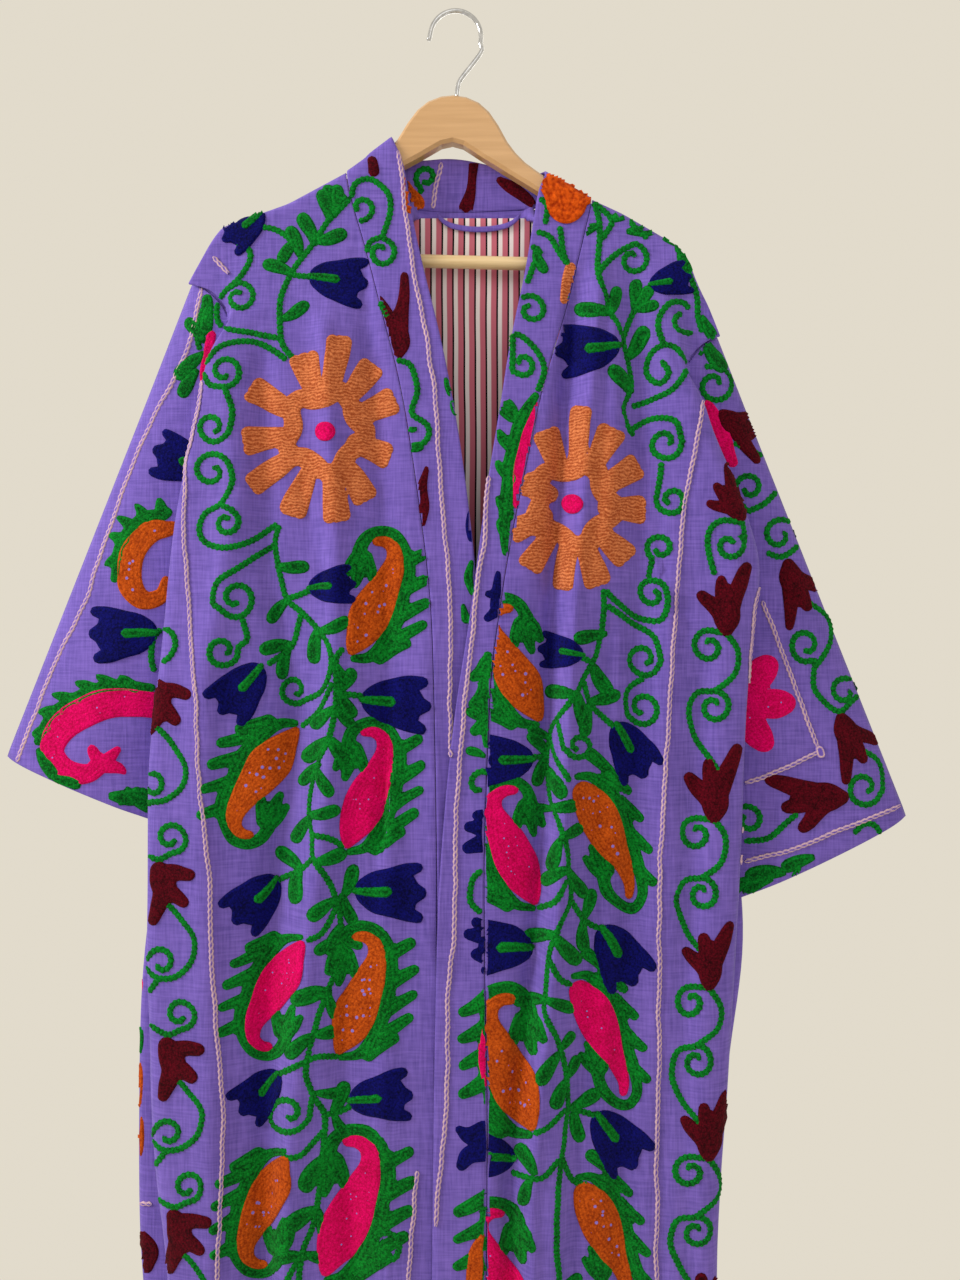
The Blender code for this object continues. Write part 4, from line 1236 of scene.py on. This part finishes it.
flower = ((548, 184, 9), (563, 192, 19), (567, 205, 19), (572, 196, 17), (588, 198, 7))
scrap(band_on, "bright", flower, lift=0.0012)
scrap(band_on, "peach", ((571, 267, 6), (568, 284, 7), (565, 299, 5.5)))
scrap(band_on, "pink", ((537, 404, 2), (528, 432, 6), (520, 470, 8), (515, 506, 3)))
lobes = [((512, y, 6), (503, y - 8, 6), (499, y - 15, 4)) for y in (417, 448, 478, 513, 538)]
back = ((536, 396, 4), (522, 420, 7), (512, 452, 7), (507, 490, 7), (504, 525, 6), (506, 552, 4))
scrap(band_on, "green", back, *lobes, ((514, 410, 5), (509, 402, 4)))
for strokes in TULIP_SCRAPS:
    scrap(band_on, "navy", *strokes)
scrap(band_on, "pink", ((484, 1022, 2), (482, 1050, 4.5), (484, 1084, 2)), lift=0.0007)
for low, high, reach in COMB_SCRAPS:
    back = ((488, low, 5), (486, (low + high) / 2, 9), (488, high, 5))
    lobes = []
    for y in range(low + 8, high - 6, 27):
        lobes.append(((486, y, 8), (486 - 0.6 * reach, y + 8, 7.4), (482 - reach, y + 14, 5.6)))
    scrap(band_on, "green", back, *lobes)
scrap(band_on, "orange", ((482, 1236, 3), (476, 1256, 8), (474, 1280, 9)), lift=0.0007)
vines(
    band_on,
    [(559, 226), (563, 250), (569, 264)],
    [(536, 231), (548, 236), (558, 250), (569, 264)],
    [(531, 245), (540, 251), (534, 266), (527, 284)],
    [(522, 298), (531, 309, 13, 330, 1.3)],
    [(513, 332), (526, 339), (539, 354), (544, 371), (538, 392)],
    [(514, 334), (523, 364, 11, 250, -1.2)],
    [(485, 775), (481, 785, 13, 20, -0.7)],
    [(484, 868), (472, 880), (470, 900), (482, 912)],
    [(540, 198), (548, 206), (545, 224)],
)
sew(
    band_on, LEAF, (544, 385, 38, 1.5), (569, 300, 40, 1.4), (536, 250, 160, 1.0), (486, 720, 300, 0.9),
    (484, 756, 290, 0.8),
)
print("band:", len(stitched["embroidery_band"].faces), "faces of thread")

# %% [markdown]
# ## Inside the back neck
#
# Scraps of larger motifs run over the band here as well: an orange wedge, a curl, a pale line and
# two maroon stems.

# %% Neck motifs
scrap(band_on, "orange", ((404, 180, 3), (408, 192, 7), (416, 203, 9), (408, 206, 6)))
scrap(band_on, "maroon", ((474, 160, 5), (472, 185, 5), (466, 208, 7)))
scrap(band_on, "maroon", ((500, 180, 4), (513, 188, 7), (528, 200, 6), (534, 206, 3)))
vines(
    band_on, [(426, 178, 10, 200, 1.3)], [(418, 192), (424, 189)], [(497, 214), (516, 211), (537, 210)],
)
vines(band_on, [(441, 163), (437, 185), (433, 208)], **THICK_PALE)
print("band with its neck:", len(stitched["embroidery_band"].faces), "faces of thread")

# %% [markdown]
# ## The sleeves
#
# The sleeves are cut from the same cloth: almond shapes and tulips on one, the border on the other.


# %% Sleeves
def left_sleeve(on):
    sew(on, TULIP, (206, 470, 290, 1.0), (154, 633, 268, 1.15))
    small_comb = fingers(
        5.4, (164, 514, -4, -14), (148, 518, -12, -12), (134, 526, -16, -8), (126, 540, -16, -4),
        (120, 556, -14, 8),
    )
    scrap(on, "green", ((168, 512, 5), (138, 520, 6), (120, 548, 6), (114, 578, 5)), *small_comb)
    scrap(
        on, "orange",
        ((172, 528, 8), (150, 532, 12), (133, 552, 13), (129, 580, 13), (142, 600, 10), (160, 597, 8),
         (166, 580, 5)),
    )
    large_comb = fingers(
        5.6, (136, 688, -16, -10), (116, 686, -18, -9), (96, 690, -20, -7), (76, 700, -22, -4),
        (60, 712, -20, 0), (48, 728, -14, 6),
    )
    back = ((150, 688, 5), (118, 686, 6), (82, 694, 6), (52, 716, 6), (38, 742, 5))
    scrap(on, "green", back, *large_comb)
    scrap(
        on, "pink",
        ((160, 706, 12), (128, 702, 15), (92, 708, 17), (62, 728, 15), (52, 750, 12), (64, 770, 12),
         (88, 774, 10), (100, 764, 9)),
        ((100, 764, 8), (94, 752, 6), (92, 748, 4)),
        ((102, 764, 8), (112, 756, 6), (118, 750, 4)),
        ((104, 766, 8), (118, 768, 6), (124, 772, 3)),
    )
    scrap(on, "pink", ((212, 335, 5), (206, 370, 6), (203, 402, 3)))
    sew(
        on, LEAF, (206, 320, 5, 1.0), (204, 340, 320, 1.1), (202, 355, 230, 1.4), (196, 372, 215, 1.2),
        (40, 752, 150, 1.3), (52, 776, 110, 1.2), (112, 796, 90, 1.5), (128, 790, 130, 1.3),
        (120, 802, 60, 1.0), (210, 305, 190, 1.2),
    )
    sew(on, CLAWS, (240, 540, 200, 0.9), (236, 720, 205, 0.9))
    vines(on, [(206, 300), (198, 330), (200, 350)])
    line = [(202, 286), (186, 353), (143, 440), (104, 544), (87, 598), (70, 632), (52, 670), (38, 707)]
    vines(on, line + [(28, 732), (17, 762)], **THICK_PALE)


def right_sleeve(on):
    sew(on, CLAWS, (720, 413, 125, 0.85), (787, 563, 160, 0.92), (841, 716, 158, 0.92), (845, 797, 266, 1.12))
    flower = [((738, 702, 14), (738, 703, 14))]
    for degrees in (38, 92, 148, 203, 258, 320):
        a = math.radians(degrees)
        petal = ((10, 9), (26, 14), (38, 15), (46, 12))
        flower.append([(738 + r * math.sin(a), 702 - r * math.cos(a), half) for r, half in petal])
    scrap(on, "pink", *flower)
    scrap(on, "pink", ((708, 405, 6), (722, 435, 9), (732, 462, 6)))
    vines(
        on,
        [(704, 366), (722, 368), (715, 385, 17, 30, 1.4)],
        [(734, 442), (748, 448), (764, 457)],
        [(747, 512), (762, 505), (777, 492)],
        [(748, 512), (738, 500), (749, 488, 13, 240, 1.3)],
        [(766, 552), (782, 557), (799, 545), (798, 532), (779, 535, 15, 70, -1.3)],
        [(806, 600), (826, 616), (831, 641), (815, 666), (806, 645, 16, 150, 1.4)],
        [(814, 666), (815, 690), (838, 711), (852, 700), (845, 691, 14, 90, -1.3)],
        [(856, 748), (877, 760), (883, 789), (864, 788, 17, 100, 1.4)],
        [(797, 813), (771, 836), (744, 842)],
        [(740, 806), (748, 819, 13, 330, 1.2)],
        [(852, 832), (870, 836, 14, 290, 0.9)],
    )
    sew(
        on, LEAF, (782, 872, 262, 1.5), (770, 880, 250, 1.2), (812, 858, 255, 1.3), (800, 866, 200, 0.8),
        (700, 352, 20, 1.0), (706, 342, 150, 1.4), (748, 880, 240, 1.2),
    )
    vines(
        on, [(762, 600), (790, 675), (819, 751)], [(819, 752), (784, 768), (745, 783)],
        [(745, 863), (800, 846), (850, 826), (905, 803)], **PALE,
    )
    sew_pad(on, draw_pad([((819, 750, 5), (820, 754, 5))], 2.4), "pale", lift=0.001)


def both_sleeves(aim):
    left_sleeve(hoop("embroidery_sleeve_left", ("sleeve_left",), aim))
    right_sleeve(hoop("embroidery_sleeve_right", ("sleeve_right",), aim))


both_sleeves(line_of_sight)
for name in ("embroidery_sleeve_left", "embroidery_sleeve_right"):
    print(name, len(stitched[name].faces), "faces of thread")

# %% [markdown]
# ## The back
#
# The picture doesn't show the back. Such a jacket is cut from one embroidered cover, so the back
# gets the same two columns of motifs, with a pale line down the middle and the borders outside.
# Where the back peeks out past the fronts, a few ends of its motifs show from the front too.

# %% Back
def behind(shift):
    """The lines of sight for the back, with the whole plan moved sideways."""
    return lambda spot: line_from_behind((spot[0] + shift, spot[1]))


left_front(hoop("embroidery_back", ("back_panel",), behind(16)))
right_front(hoop("embroidery_back", ("back_panel",), behind(-6)))
vines(
    hoop("embroidery_back", ("back_panel",), line_from_behind),
    [(462, 215), (460, 600), (462, 1000), (460, 1405)],
    [(224, 300), (218, 700), (226, 1405)],
    [(694, 330), (672, 700), (660, 1405)],
    **PALE,
)
peek = hoop("embroidery_back", ("back_panel",))
for colour, stroke in (
    ("pink", ((137, 958, 3), (136, 982, 7), (137, 1008, 3))),
    ("orange", ((138, 1066, 4), (136, 1085, 8), (138, 1104, 4))),
    ("orange", ((139, 1120, 4), (137, 1136, 8), (139, 1152, 4))),
    ("green", ((140, 1028, 3), (139, 1040, 5), (140, 1052, 3))),
    ("maroon", ((142, 1236, 6), (150, 1250, 9), (146, 1266, 7))),
    ("green", ((748, 904, 3), (750, 930, 5), (748, 956, 3))),
):
    scrap(peek, colour, stroke)
vines(peek, [(134, 1203), (152, 1204)], **PALE)
both_sleeves(line_from_behind)
print("back:", len(stitched["embroidery_back"].faces), "faces of thread")

# %% [markdown]
# ## From stitches to pieces
#
# The stitches of each panel are one mesh with eight threads. They are left apart from the cloth,
# because they are thread on it and not part of it.

# %% Make the embroidery into pieces
for name, bm in stitched.items():
    mesh = mesh_of(bm, name)
    for colour in thread_order:
        mesh.materials.append(threads[colour])
    smooth(mesh)
    piece = show(name, mesh)
    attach(piece, "root")
    print(name, sum(len(face.vertices) - 2 for face in mesh.polygons), "triangles")

# %% [markdown]
# ## The cut of the cloth
#
# Each panel is listed with the size it was cut to, width first. The panels that taper have their
# own flat area. Sleeves are given all round. The table also lists what is sewn on each panel.

CUT = (
    ("back_panel", (0.70, 1.16), 0.755, "hanger_body", ["embroidery_back"]),
    ("front_left", (0.36, 1.17), 0.35, "hanger_body", ["embroidery_front_left", "seam_strip_left"]),
    ("front_right", (0.33, 1.15), 0.31, "hanger_body", ["embroidery_front_right", "seam_strip_right"]),
    ("sleeve_left", (0.48, 0.52), 0.135, "front_left", ["embroidery_sleeve_left"]),
    ("sleeve_right", (0.48, 0.53), 0.137, "front_right", ["embroidery_sleeve_right"]),
    (
        "collar_band", (0.05, 2.42), 0.118, "hanger_body",
        ["embroidery_band", "seam_strip_neck", "seam_strip_front"],
    ),
    ("back_lining", (0.44, 1.1), 0.47, "back_panel", []),
)
for name, flat, area, rest, sewn_on in CUT:
    print(name, "cut", flat[0], "x", flat[1], "m, area", area, "square metres")

# %% [markdown]
# ## Stage and light
#
# A round pale floor lies under the hem. The room is plain cream. The key light comes from far to
# the left, so that it grazes the folds; a weak fill and a light from behind keep the rest soft.

# %% Stage and light
FLOOR_RADIUS, FLOOR_HEIGHT = 0.75, -1.75
CHEST = Vector((0, 0, -0.6))

bm = bmesh.new()
bmesh.ops.create_circle(bm, cap_ends=True, segments=96, radius=FLOOR_RADIUS)
bmesh.ops.translate(bm, verts=bm.verts, vec=(0, 0, FLOOR_HEIGHT))
floor = show("floor", mesh_of(bm, "floor"))
floor_look, _ = new_material(
    "pale_floor", Roughness=1.0, Specular_IOR_Level=0.0, Base_Color=linear("BDB5A1")
)
floor.data.materials.append(floor_look)

world = bpy.context.scene.world or bpy.data.worlds.new("room")
bpy.context.scene.world = world
world.use_nodes = True
world.node_tree.nodes["Background"].inputs["Color"].default_value = linear("FFF7E6")
world.node_tree.nodes["Background"].inputs["Strength"].default_value = 0.76
bpy.context.scene.view_settings.view_transform = "Standard"
for name, place, size, watts, tint in (
    ("key", (-2.3, -0.9, 0.6), 0.9, 58, (1.0, 0.98, 0.95)),
    ("fill", (0.6, -2.4, 0.5), 1.6, 6, (0.97, 0.98, 1.0)),
    ("behind", (0.4, 2.4, 0.6), 1.8, 26, (1.0, 0.98, 0.95)),
):
    data = bpy.data.lights.new(name, "AREA")
    data.size, data.energy, data.color = size, watts, tint
    lamp = show(name, data)
    lamp.location = place
    lamp.rotation_euler = (CHEST - Vector(place)).to_track_quat("-Z", "Y").to_euler()
print("floor", FLOOR_RADIUS * 2, "m across, three lights")
